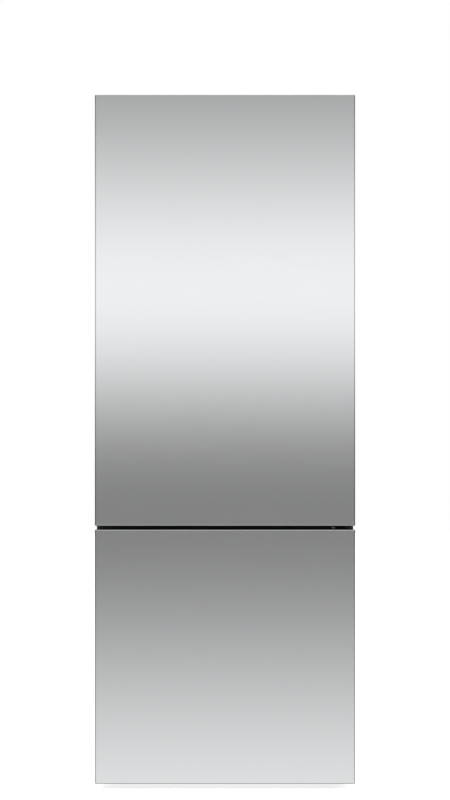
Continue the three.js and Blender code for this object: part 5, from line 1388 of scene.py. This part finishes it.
def makeDrawer(key):
    v = drawerValues
    node = "freezer_drawer_" + key
    low, (_, back, top) = nodeBox(node)
    half, front, thick, bm = v["half"], low[1] + v["lip"] - 1, v["flangeThick"], bmesh.new()
    addTray(bm, (-half, front, low[2]), (half, back, top), v, rim=1.0, foot=8.0)
    # curled handle along the whole front, and ridges under it
    addPrism(bm, "x", [(1.4, 0), (-5, 0), (-7, -0.8), (-8, -2.8), (-8, -13), (-7.4, -14),
                       (-6.2, -14), (-5.6, -13), (-5.6, -4.4), (-4.6, -3), (1.4, -2.8)],
             6 - half, half - 6, at=(front, top - 0.6))
    for i in range(v["ridges"]):
        addPrism(bm, "x", [(1.6, -1.1), (0.2, -0.7), (0.2, 0.7), (1.6, 1.1)], 16 - half, half - 16,
                 at=(front, top - v["ridgeDrop"] - i * v["ridgePitch"]))
    for side in (-1, 1):
        inner, outer = side * (half - 1.8), side * v["flange"]
        addPrism(bm, "y", [(inner, 0), (outer - side * 0.8, 0), (outer, -0.8), (outer, -thick),
                           (outer - side * 1.6, -3), (outer - side * 1.6, -1.6), (inner, -1.6)],
                 front + 8, back, at=(0, top - v["flangeDrop"] + thick))
    makePiece("freezerDrawer" + key.title(), bm, frostedPs, node, node, limit=40)


iceValues = {"rows": 2, "cells": 6, "half": 28.0, "inset": 6.0, "low": 555.0, "high": 581.0,
             "wall": 1.2, "draft": 4.0, "rim": 1.6, "pin": 4.0, "boss": 9.0, "knob": 11.0,
             "grooves": 16, "fin": 2.2}


def makeIceTray():
    v = iceValues
    frameBox = nodeBox("ice_tray_frame")
    middle, half = (frameBox[0][0] + frameBox[1][0]) / 2, v["half"]
    near, far = frameBox[0][1], frameBox[1][1]
    y0, y1, z0, z1 = near + v["inset"], far - v["inset"], v["low"], v["high"]
    axis = jointSpot("ice_tray_twist")[2]
    t, d, top = v["wall"], v["draft"], z1 - v["rim"]
    wide, long = 2 * half / v["rows"], (y1 - y0) / v["cells"]
    cell = [(z0, t + d + 4, 3), (z0 + 1.2, t + d + 1.4, 5), (z0 + 4, t + d, 6), (top - t, 0.8, 4),
            (top - t, -0.1, 0.1), (top, -0.1, 0.1), (top, t + 0.8, 4), (z0 + 4 + t, t + d + t, 5),
            (z0 + 1.4 + t, t + d + t + 1.4, 4), (z0 + t, t + d + t + 4, 2)]
    bm = bmesh.new()
    for row in range(v["rows"]):
        for i in range(v["cells"]):
            a0, b0 = middle - half + row * wide, y0 + i * long
            addStack(bm, "z", (a0, a0 + wide, b0, b0 + long), cell, steps=4)
    # the raised rim, the pins it twists on and the knob with its grip
    addStack(bm, "z", (middle - half, middle + half, y0, y1), [
        (0, 0.6), (-0.4, 0), (-5, 0), (-5, 1.6), (-0.4, 1.6), (0, 1.0)], 3, 4, ring=True, base=z1)
    r, pin = v["boss"], v["pin"]
    for profile in ([(r, y1 - 2.5), (r, y1 + 0.3), (pin, y1 + 0.3), (pin, far - 0.8),
                     (pin - 0.8, far)],
                    [(r, y0 + 2.5), (r, y0 - 0.3), (pin, y0 - 0.3), (pin, near - 3)]):
        addTurned(bm, "y", profile, middle, axis, 24)
    makePiece("iceTray", bm, icePe, "ice_tray", "ice_tray")
    knob, r, face = bmesh.new(), v["knob"], near - 1
    addGrooved(knob, "y", ((0, 9.8, 0), (-1, r, 0), (-1.6, r, 0.6), (-7.6, r - 0.2, 0.6),
                           (-8.6, r - 1, 0.2), (-9, r - 2, 0), (-8.6, 4, 0)), v["grooves"],
               middle, axis, face)
    addPrism(knob, "x", [(-8, -11), (-13.5, -11), (-16, -8.5), (-16, 8.5), (-13.5, 11), (-8, 11)],
             middle - v["fin"], middle + v["fin"], at=(face, axis))
    makePiece("iceTrayKnob", knob, icePe, "ice_tray", edge=0.4)


# a moulded axial fan: a turned hub and blades that lose pitch towards their tips
def addFan(bm, axis, node, hub, tip, bore, blades):
    low, high = nodeBox(node)
    slot = {"x": 0, "y": 1}[axis]
    a, b = [v for i, v in enumerate(jointSpot(node + "_spin")) if i != slot]
    s0, s1 = low[slot], high[slot]
    addTurned(bm, axis, [(bore, s0 + 0.6), (bore + 0.6, s0), (hub - 2, s0), (hub - 0.6, s0 + 0.6),
                         (hub, s0 + 2), (hub, s1 - 5), (hub - 0.8, s1 - 2.4), (hub - 3, s1 - 0.7),
                         (hub - 6.5, s1), (bore + 0.6, s1), (bore, s1 - 0.6)], a, b, 40, ring=True)
    middle = (s0 + s1) / 2
    reach = (s1 - s0) / 2 - 1.2
    for n in range(blades):
        loops = []
        for i in range(15):
            f = 1 - (1 - i / 14) ** 1.5
            r = hub - 2 + (tip - hub + 2) * f
            rounding = math.sqrt(1 - 0.6 * (max(f - 0.8, 0) / 0.2) ** 2)
            chord = tip * (0.52 + 0.42 * f) * rounding
            pitch = math.radians(46 - 22 * f)
            thick = 1.5 - 0.4 * f
            start = 2 * math.pi * n / blades + 0.28 * f * f
            section = []
            for k in list(range(0, 11)) + list(range(9, 0, -1)):
                u = k / 5 - 1
                face = 1 if len(section) <= 10 else -1
                w = chord * 0.09 * (1 - u * u) + face * thick * math.sqrt(max(1 - u ** 4, 0)) / 2
                t = u * chord / 2 * math.cos(pitch) - w * math.sin(pitch)
                s = u * chord / 2 * math.sin(pitch) + w * math.cos(pitch)
                s = max(min(s, reach), -reach)
                turn = start + t / r
                section.append(onAxis(axis, middle + s, a + r * math.cos(turn),
                                      b + r * math.sin(turn)))
            loops.append(section)
        skinLoops(bm, loops)


coverShape = {"thick": 6.0, "mouth": 56.0, "hub": 16.0, "slots": ((-200, -60), (60, 200)),
              "rows": 3, "pitch": 20.0, "tall": 8.0, "post": 7.0, "postInset": 12.0,
              "armHalf": 2.5, "armStart": 12.0, "rings": (26, 36, 46), "axle": 3.0,
              "panel": (84, 226), "panelEnds": (398, 578)}


def makeEvaporatorCover():
    v = coverShape
    (x0, y0, z0), (x1, post, z1) = nodeBox("evaporator_cover")
    fanX, _, fanZ = jointSpot("evaporator_fan_spin")
    back, m, hub, arm = y0 + v["thick"], v["mouth"], v["hub"], v["armHalf"]
    bm, cutter, guard, screws = (bmesh.new() for _ in range(4))
    addStack(bm, "y", (x0, x1, z0, z1), [(back, 0), (y0 + 2, 0), (y0 + 0.6, 0.5), (y0, 1.8)], 4, 4)
    addRod(cutter, "y", m, y0 - 3, back + 3, fanX, fanZ, 64)
    for a, b in v["slots"]:
        for row in range(v["rows"]):
            z = z0 + (row + 1) * v["pitch"]
            addBar(cutter, "y", (a, b, z, z + v["tall"]), 3.9, (y0 - 3, back + 3), 5)
    makePiece("evaporatorCover", bm, whitePs, stands="evaporator_cover", cutter=cutter)
    rings = [([(m + 6, 0.4), (m + 5, -1), (m + 3, -2.2), (m + 1, -2.2), (m - 0.6, -1), (m - 1, 1),
               (m - 1, v["thick"] - 0.5), (m + 6, v["thick"] - 0.5)], 64)]
    rings += [([(r - 1, 1.2), (r, 0.4), (r + 1, 1.2), (r + 1, 3.6), (r - 1, 3.6)], 56)
              for r in v["rings"]]
    for profile, steps in rings:
        addTurned(guard, "y", profile, fanX, fanZ, steps, ring=True, base=y0)
    addArms(guard, "y", fanX, fanZ, (v["armStart"], m), (arm, arm), y0 + 0.8, back - 0.6)
    addTurned(guard, "y", [(0.5, -2.4), (hub * 0.5, -2.1), (hub - 3, -1.2), (hub - 0.8, 0.2),
                           (hub, 1.8), (hub, v["thick"])], fanX, fanZ, 40, base=y0)
    addRod(guard, "y", v["axle"], back - 1, nodeBox("evaporator_fan")[1][1] - 3, fanX, fanZ)
    # two raised panels stiffen the sheet beside the fan
    for side in (-1, 1):
        a, b = sorted(side * x for x in v["panel"])
        x = side * (x1 - v["postInset"])
        addStack(guard, "y", (a, b, *v["panelEnds"]),
                 [(0.5, 0), (-0.4, 0.5), (-1.4, 1.8), (-1.8, 3.8)], 14, 6, base=y0)
        addRod(guard, "y", v["post"], back - 1, post, x, fanZ, 28)
        addScrew(screws, "y", -1, y0 - 0.2, x, fanZ, 3.4)
    makePiece("evaporatorCoverGuard", guard, whitePs, edge=0.2)
    makePiece("evaporatorCoverScrews", screws, screwZinc)


def makeIceTrayFrame():
    (x0, y0, z0), (x1, y1, z1) = nodeBox("ice_tray_frame")
    bm = bmesh.new()
    levels = [(z0, 0.5), (z0 + 0.5, 0), (z1, 0), (z1, 3), (z0 + 0.5, 3), (z0, 2.5)]
    skinLoops(bm, [rectLoop("z", z, x0 + i, x1 - i, y0 + i, y1 - i, 6 - i, 5) for z, i in levels],
              ring=True)
    cutter = bmesh.new()
    middle = (x0 + x1) / 2
    addRod(cutter, "y", 4.3, y0 - 2, y1 + 2, middle, jointSpot("ice_tray_twist")[2], 28)
    for i in range(3):
        a = y0 + 26 + i * 52
        addBar(cutter, "x", (a, a + 44, z1 - 20, z1 - 8), 4, (x0 - 2, x1 + 2), 5)
    makePiece("iceTrayFrame", bm, whitePs, stands="ice_tray_frame", cutter=cutter)


coilValues = {"half": 186.0, "tube": 4.0, "rows": 6, "columns": (220.0, 247.0), "pitch": 5.5,
              "fin": 0.35, "plate": 1.4, "bend": 12.0}


def addSerpentine(bm, low, high, level, levels, radius, bend):
    points = []
    for i, z in enumerate(levels):
        ends = (low, high) if i % 2 == 0 else (high, low)
        points += [(ends[0], level, z), (ends[1], level, z)]
    addTube(bm, points, radius, bend, 12)


def makeEvaporator():
    v = coilValues
    low, high = nodeBox("evaporator")
    base = 306.0
    levels = [base + 14 + (high[2] - base - 28) * i / (v["rows"] - 1) for i in range(v["rows"])]
    fins = bmesh.new()
    count = int(2 * (v["half"] - 4) / v["pitch"])
    for i in range(count + 1):
        x = -v["half"] + 4 + (2 * v["half"] - 8) * i / count
        addBlock(fins, x - v["fin"] / 2, x + v["fin"] / 2, low[1] + 1, high[1] - 1, base, high[2])
    for side in (-1, 1):
        x = side * v["half"]
        addBlock(fins, x - v["plate"] / 2, x + v["plate"] / 2, low[1], high[1], low[2], high[2])
        addBlock(fins, *sorted((x, x - side * 9)), low[1], high[1], low[2], low[2] + 1.2)
    makePiece("evaporatorFins", fins, finAluminium, stands="evaporator")
    tubes = bmesh.new()
    for y in v["columns"]:
        addSerpentine(tubes, -v["half"] - 13, v["half"] + 13, y, levels, v["tube"], v["bend"])
    makePiece("evaporatorTubes", tubes, drawnAluminium, limit=60)


def makeFans():
    for axis, name, hub, tip in (("y", "evaporator", 14.0, 50.0), ("x", "condenser", 16.0, 58.0)):
        fan = bmesh.new()
        addFan(fan, axis, name + "_fan", hub, tip, 3.1, 5)
        makePiece(name + "Fan", fan, darkAbs, name + "_fan", name + "_fan", limit=50)


for key in ("bottom", "middle", "top"):
    makeDrawer(key)
makeIceTrayFrame()
makeIceTray()
makeEvaporatorCover()
makeEvaporator()
makeFans()
print("freezer ready")

# compressor room
compressorValues = {"x": -175.0, "y": 225.0, "radius": 72.0, "band": 4.0, "baseX": 90.0,
                    "baseY": 70.0, "grommetX": 78.0, "grommetY": 58.0, "grommet": 9.0,
                    "terminalHalf": 26.0, "relay": (60.0, 118.0)}


def makeCompressor():
    v = compressorValues
    (_, _, z0), (x1, _, z1) = nodeBox("compressor")
    cx, cy, r, rim, half, g = (v[key] for key in ("x", "y", "radius", "band", "terminalHalf",
                                                  "grommet"))
    foot, crown, rim = z0 + 8, z1 - 24, r + rim
    seam = foot + (crown - foot) * 0.45
    bm, lid, rubbers, bolts = (bmesh.new() for _ in range(4))
    profile = [(0.6, foot), (r * 0.62, foot + 0.4), (r - 13, foot + 3), (r - 5, foot + 9),
               (r - 1.4, foot + 17), (r, foot + 26), (r, seam - 0.8), (r + 0.6, seam),
               (rim - 0.8, seam + 0.1), (rim, seam + 0.9), (rim, seam + 6), (rim - 0.8, seam + 6.8),
               (r + 0.4, seam + 7)]
    for i in range(9):
        turn = math.radians(90 * i / 8)
        profile.append((r * 0.34 + r * 0.66 * math.cos(turn), crown - 46 + 42 * math.sin(turn)))
    addTurned(bm, "z", profile + [(r * 0.2, crown - 2.6), (0.6, crown)], cx, cy, 56)
    # weld bead where the upper shell sits in the lower one
    addTurned(bm, "z", [(r - 0.4, 6.6), (r + 1.6, 7), (r + 2.2, 8.2), (r + 1.2, 9.4),
                        (r - 0.4, 9.8)], cx, cy, 56, ring=True, base=seam)
    # pressed foot plate with turned-up sides
    addStack(bm, "z", (cx - v["baseX"], cx + v["baseX"], cy - v["baseY"], cy + v["baseY"]),
             [(5, 0), (8, 0), (11, 0), (11, 1.8), (7.6, 1.8), (6.8, 3)], 12, base=z0)
    makePiece("compressorShell", bm, enamel, stands="compressor", limit=38)
    # start relay and overload under a clipped cover
    low, high = (z0 + rise for rise in v["relay"])
    addStack(lid, "x", (cy - half, cy + half, low, high), [
        (cx + r - 12, 0), (x1 - 13, 0), (x1 - 13, 0.9), (x1 - 12, 0.9), (x1 - 12, 0),
        (x1 - 3, 0.6), (x1 - 1, 1.6), (x1, 4)], 5)
    for z in (low + 10, high - 16):
        for a, b in ((-half - 1.6, 1 - half), (half - 1, half + 1.6)):
            addBlock(lid, x1 - 20, x1 - 9, cy + a, cy + b, z, z + 6)
    makePiece("compressorRelayCover", lid, darkAbs, edge=0.5)
    for dx in (-v["grommetX"], v["grommetX"]):
        for dy in (-v["grommetY"], v["grommetY"]):
            addTurned(rubbers, "z", [(g - 1, 0), (g, 0.8), (g, 3.6), (g - 2.4, 4.6), (g - 2.4, 8.4),
                                     (g - 0.6, 9.2), (g - 0.6, 11.4), (g - 1.6, 12.2), (3.4, 12.2)],
                      cx + dx, cy + dy, 28, base=z0)
            addScrew(bolts, "z", 1, z0 + 12.6, cx + dx, cy + dy, 3.4)
    makePiece("compressorGrommets", rubbers, rubber)
    makePiece("compressorBolts", bolts, screwZinc)


pipeValues = {"suction": 5.0, "discharge": 4.0, "process": 3.2, "liquid": 3.2, "drier": 9.0,
              "capillary": 1.3, "crossing": 241.0, "coilX": 70.0, "drierX": 4.0, "drierY": 74.0}


def makePipes():
    v = pipeValues
    top, ceiling = nodeBox("compressor")[1][2], nodeBox("compressor_cover")[1][2] - 6
    x, y, up = compressorValues["x"], compressorValues["y"], v["crossing"]
    far, near = v["coilX"], v["drierX"]
    pipes, back, r = bmesh.new(), y + v["drierY"], v["drier"]
    addTube(pipes, [(x - 38, y - 30, top - 56), (x - 38, y - 30, up), (x - 38, y - 66, up),
                    (far, y - 66, up), (far, y - 66, top - 16)], v["discharge"], 14, 14)
    addTube(pipes, [(x - 38, y + 30, top - 56), (x - 38, y + 30, up + 14),
                    (x + 40, y + 62, up + 14), (x + 40, y + 62, ceiling)], v["suction"], 18, 14)
    addTube(pipes, [(x + 8, y + 44, top - 48), (x + 8, y + 44, top - 16), (x + 24, y + 52, top - 4),
                    (x + 62, y + 52, top - 4)], v["process"], 10, 12)
    addTube(pipes, [(far, y + 64, top - 16), (far, y + 64, up), (near, back, up),
                    (near, back, 196)], v["liquid"], 12, 14)
    addTurned(pipes, "z", [(3.2, 198), (3.6, 190), (r - 1, 182), (r, 178), (r, 118), (r - 1, 114),
                           (3, 106), (2.2, 98)], near, back, 28)
    # capillary: two turns, then up along the suction pipe
    coil = [(near, back, 100), (near, back, 86)]
    for i in range(25):
        turn = 2 * math.pi * i / 12
        coil.append((-18 + 22 * math.cos(turn), back + 10 * math.sin(turn), 84 - i * 0.5))
    coil += [(-46, back, 84), (-64, back, 120), (x + 47, y + 70, up), (x + 47, y + 64, ceiling)]
    addTube(pipes, coil, v["capillary"], 6, 8)
    makePiece("refrigerantPipes", pipes, copper, limit=50)


condenserValues = {"rows": 6, "columns": (-58.0, -20.0, 20.0, 58.0), "tube": 4.5, "pitch": 5.0,
                   "fin": 0.4, "front": 48.0, "rise": 31.75, "box": 38.0, "sheet": 1.5,
                   "ring": 64.0, "motor": 17.0, "axle": 3.0, "armStart": 10.0, "armHalf": 4.0,
                   "bend": 11.0}


def makeCondenser():
    v = condenserValues
    (_, y0, z0), (x1, y1, z1) = nodeBox("condenser")
    _, cy, cz = jointSpot("condenser_fan_spin")
    x0, base, sheet = v["front"], z0 + v["rise"], v["sheet"]
    ring, motor, half = v["ring"], v["motor"], v["armHalf"]
    bm, mouth, parts, fins, tubes = (bmesh.new() for _ in range(5))
    addBlock(bm, x0, x0 + 2, y0, y1, base, z1)
    addRod(mouth, "x", ring - 0.5, x0 - 5, x0 + 8, cy, cz, 64)
    makePiece("condenserShroud", bm, enamel, stands="condenser", limit=30, cutter=mouth)
    # bell mouth round the fan, three arms that carry the motor, the motor and its axle
    addTurned(parts, "x", [(ring + 3.5, -0.2), (ring + 0.8, -1.4), (ring - 0.6, -4),
                           (ring - 1.2, -14), (ring - 0.2, -14.4), (ring + 0.4, -5),
                           (ring + 1.8, -2.6), (ring + 4, -1.2)], cy, cz, 64, ring=True, base=x0)
    addArms(parts, "x", cy, cz, (v["armStart"], ring + 3), (half, half * 0.8), x0, x0 + 5)
    addTurned(parts, "x", [(motor - 3, -0.2), (motor + 1, 0.4), (motor + 1, 5), (motor, 6),
                           (motor, 24), (motor - 2, 27), (6, 28)], cy, cz, 40, base=x0)
    addRod(parts, "x", v["axle"], x0 - 30, x0 + 2, cy, cz)
    inner, outer = x0 + v["box"], x1 - 14
    for z in (base, z1 - sheet):
        addBlock(parts, x0 + 1, inner, y0, y1, z, z + sheet)
    for y in (y0, y1 - sheet):
        addBlock(parts, x0 + 1, inner, y, y + sheet, base, z1)
    for x in (inner, outer):
        addBlock(parts, x - 1, x + 1, y0, y1, base, z1)
    # feet at both ends reach the room's floor
    for x, reach in ((x0 + 1, 13), (outer, 11)):
        for y in (y0 + 14, y1 - 34):
            addBlock(parts, x - 1, x + 1, y, y + 20, z0, base + 2)
            addBlock(parts, x - 1, x + reach, y, y + 20, z0, z0 + 1.8)
    makePiece("condenserFrame", parts, enamel, edge=0.3)
    count = int((outer - inner - 6) / v["pitch"])
    for i in range(count + 1):
        x = inner + 3 + (outer - inner - 6) * i / count
        addBlock(fins, x - v["fin"] / 2, x + v["fin"] / 2, y0 + 3, y1 - 3, base + 3, z1 - 3)
    makePiece("condenserFins", fins, finAluminium)
    levels = [base + 16 + (z1 - base - 32) * i / (v["rows"] - 1) for i in range(v["rows"])]
    for dy in v["columns"]:
        addSerpentine(tubes, inner - 9, outer + 13, cy + dy, levels, v["tube"], v["bend"])
    makePiece("condenserTubes", tubes, enamel, limit=60)


panValues = {"wall": 2.0, "floor": 2.0, "corner": 12.0, "slant": 3.0}


def makeDrainPan():
    bm = bmesh.new()
    addTray(bm, *nodeBox("drain_pan"), panValues, rim=1.5, foot=4.0)
    makePiece("drainPan", bm, greyAbs, stands="drain_pan", limit=40)


def makeControlBox():
    (x0, y0, z0), (x1, y1, z1) = nodeBox("control_box")
    bm = bmesh.new()
    addStack(bm, "y", (x0, x1, z0, z1), [(y0, 0.6), (y0 + 0.6, 0), (y1 - 12, 0), (y1 - 12, 1),
                                         (y1 - 10.8, 1), (y1 - 10.8, -1), (y1 - 2, -1),
                                         (y1 - 0.6, 0), (y1, 1.6)], 6, 6)
    for z in (z0 + 24, z1 - 34):
        for x in (x0, x1):
            addBlock(bm, x - 2, x + 2, y1 - 16, y1 - 5, z, z + 10)
    for i in range(6):
        x = x0 + 25 + i * 12
        addBar(bm, "y", (x, x + 5, z0 + 30, z1 - 30), 2.4, (y1 - 1, y1 + 0.9))
    makePiece("controlBox", bm, darkAbs, stands="control_box", edge=0.4)


makeCompressor()
makePipes()
makeCondenser()
makeDrainPan()
makeControlBox()
print("compressor room ready")

# what it stands on
rollerValues = {"bore": 4.1}


def makeRoller(side):
    node = "rear_roller_" + side
    (x0, y0, z0), (x1, y1, z1) = nodeBox(node)
    r, a, b = (z1 - z0) / 2, (y0 + y1) / 2, (z0 + z1) / 2
    bore = rollerValues["bore"]
    middle = (x0 + x1) / 2
    profile = [(bore, x0 + 0.8), (bore + 0.6, x0 + 0.2), (bore + 2.4, x0 + 0.2),
               (bore + 2.8, x0 + 1.8), (r - 3.4, x0 + 1.8), (r - 3, x0), (r - 1.2, x0),
               (r - 0.3, x0 + 0.6), (r, x0 + 1.6), (r, middle - 1.2), (r - 0.7, middle - 0.6),
               (r - 0.7, middle + 0.6), (r, middle + 1.2), (r, x1 - 1.6), (r - 0.3, x1 - 0.6),
               (r - 1.2, x1), (r - 3, x1), (r - 3.4, x1 - 1.8), (bore + 2.8, x1 - 1.8),
               (bore + 2.4, x1 - 0.2), (bore + 0.6, x1 - 0.2), (bore, x1 - 0.8)]
    bm = bmesh.new()
    addTurned(bm, "x", profile, a, b, 48, ring=True)
    makePiece("rearRoller" + side.title(), bm, rubber, node, node, limit=30)


footValues = {"pad": 20.0, "grips": 36, "grip": 0.7, "stud": 5.0, "thread": 1.5, "nut": 9.0}


def makeFoot(side):
    v = footValues
    node = "levelling_foot_" + side
    (x0, y0, z0), (x1, y1, z1) = nodeBox(node)
    a, b, r, cut, stud, nut = (x0 + x1) / 2, (y0 + y1) / 2, v["pad"], v["grip"], v["stud"], v["nut"]
    bm, bolt = bmesh.new(), bmesh.new()
    addGrooved(bm, "z", ((0, 16.5, 0), (0.8, 17.5, 0), (1.6, r - 0.6, 0.2), (2.2, r, cut),
                         (6, r, cut), (6.8, r - 0.8, 0.2), (7.6, r - 4, 0), (8, r - 8, 0)),
               v["grips"], a, b, z0)
    makePiece("levellingFoot" + side.title(), bm, darkAbs, node, node, limit=30)
    addTurned(bolt, "z", [(nut - 1.2, 7), (nut, 7.8), (nut, 13.2), (nut - 1.2, 14)], a, b, 6,
              base=z0)
    profile, z = [(stud - 0.8, z0 + 13)], z0 + 13.5
    while z < z1 - v["thread"]:
        profile += [(stud - 0.7, z), (stud, z + v["thread"] / 2)]
        z += v["thread"]
    addTurned(bolt, "z", profile + [(stud - 0.7, z), (stud - 1.6, z1)], a, b, 24)
    makePiece("levellingStud" + side.title(), bolt, screwZinc, node)


for side in ("left", "right"):
    makeRoller(side)
    makeFoot(side)
print("floor fittings ready")

for node in ("cabinet_foam", "upper_door_foam", "lower_door_foam"):
    frame["nodes"][node].data.materials.clear()
    frame["nodes"][node].data.materials.append(foam)
print("pieces ready")
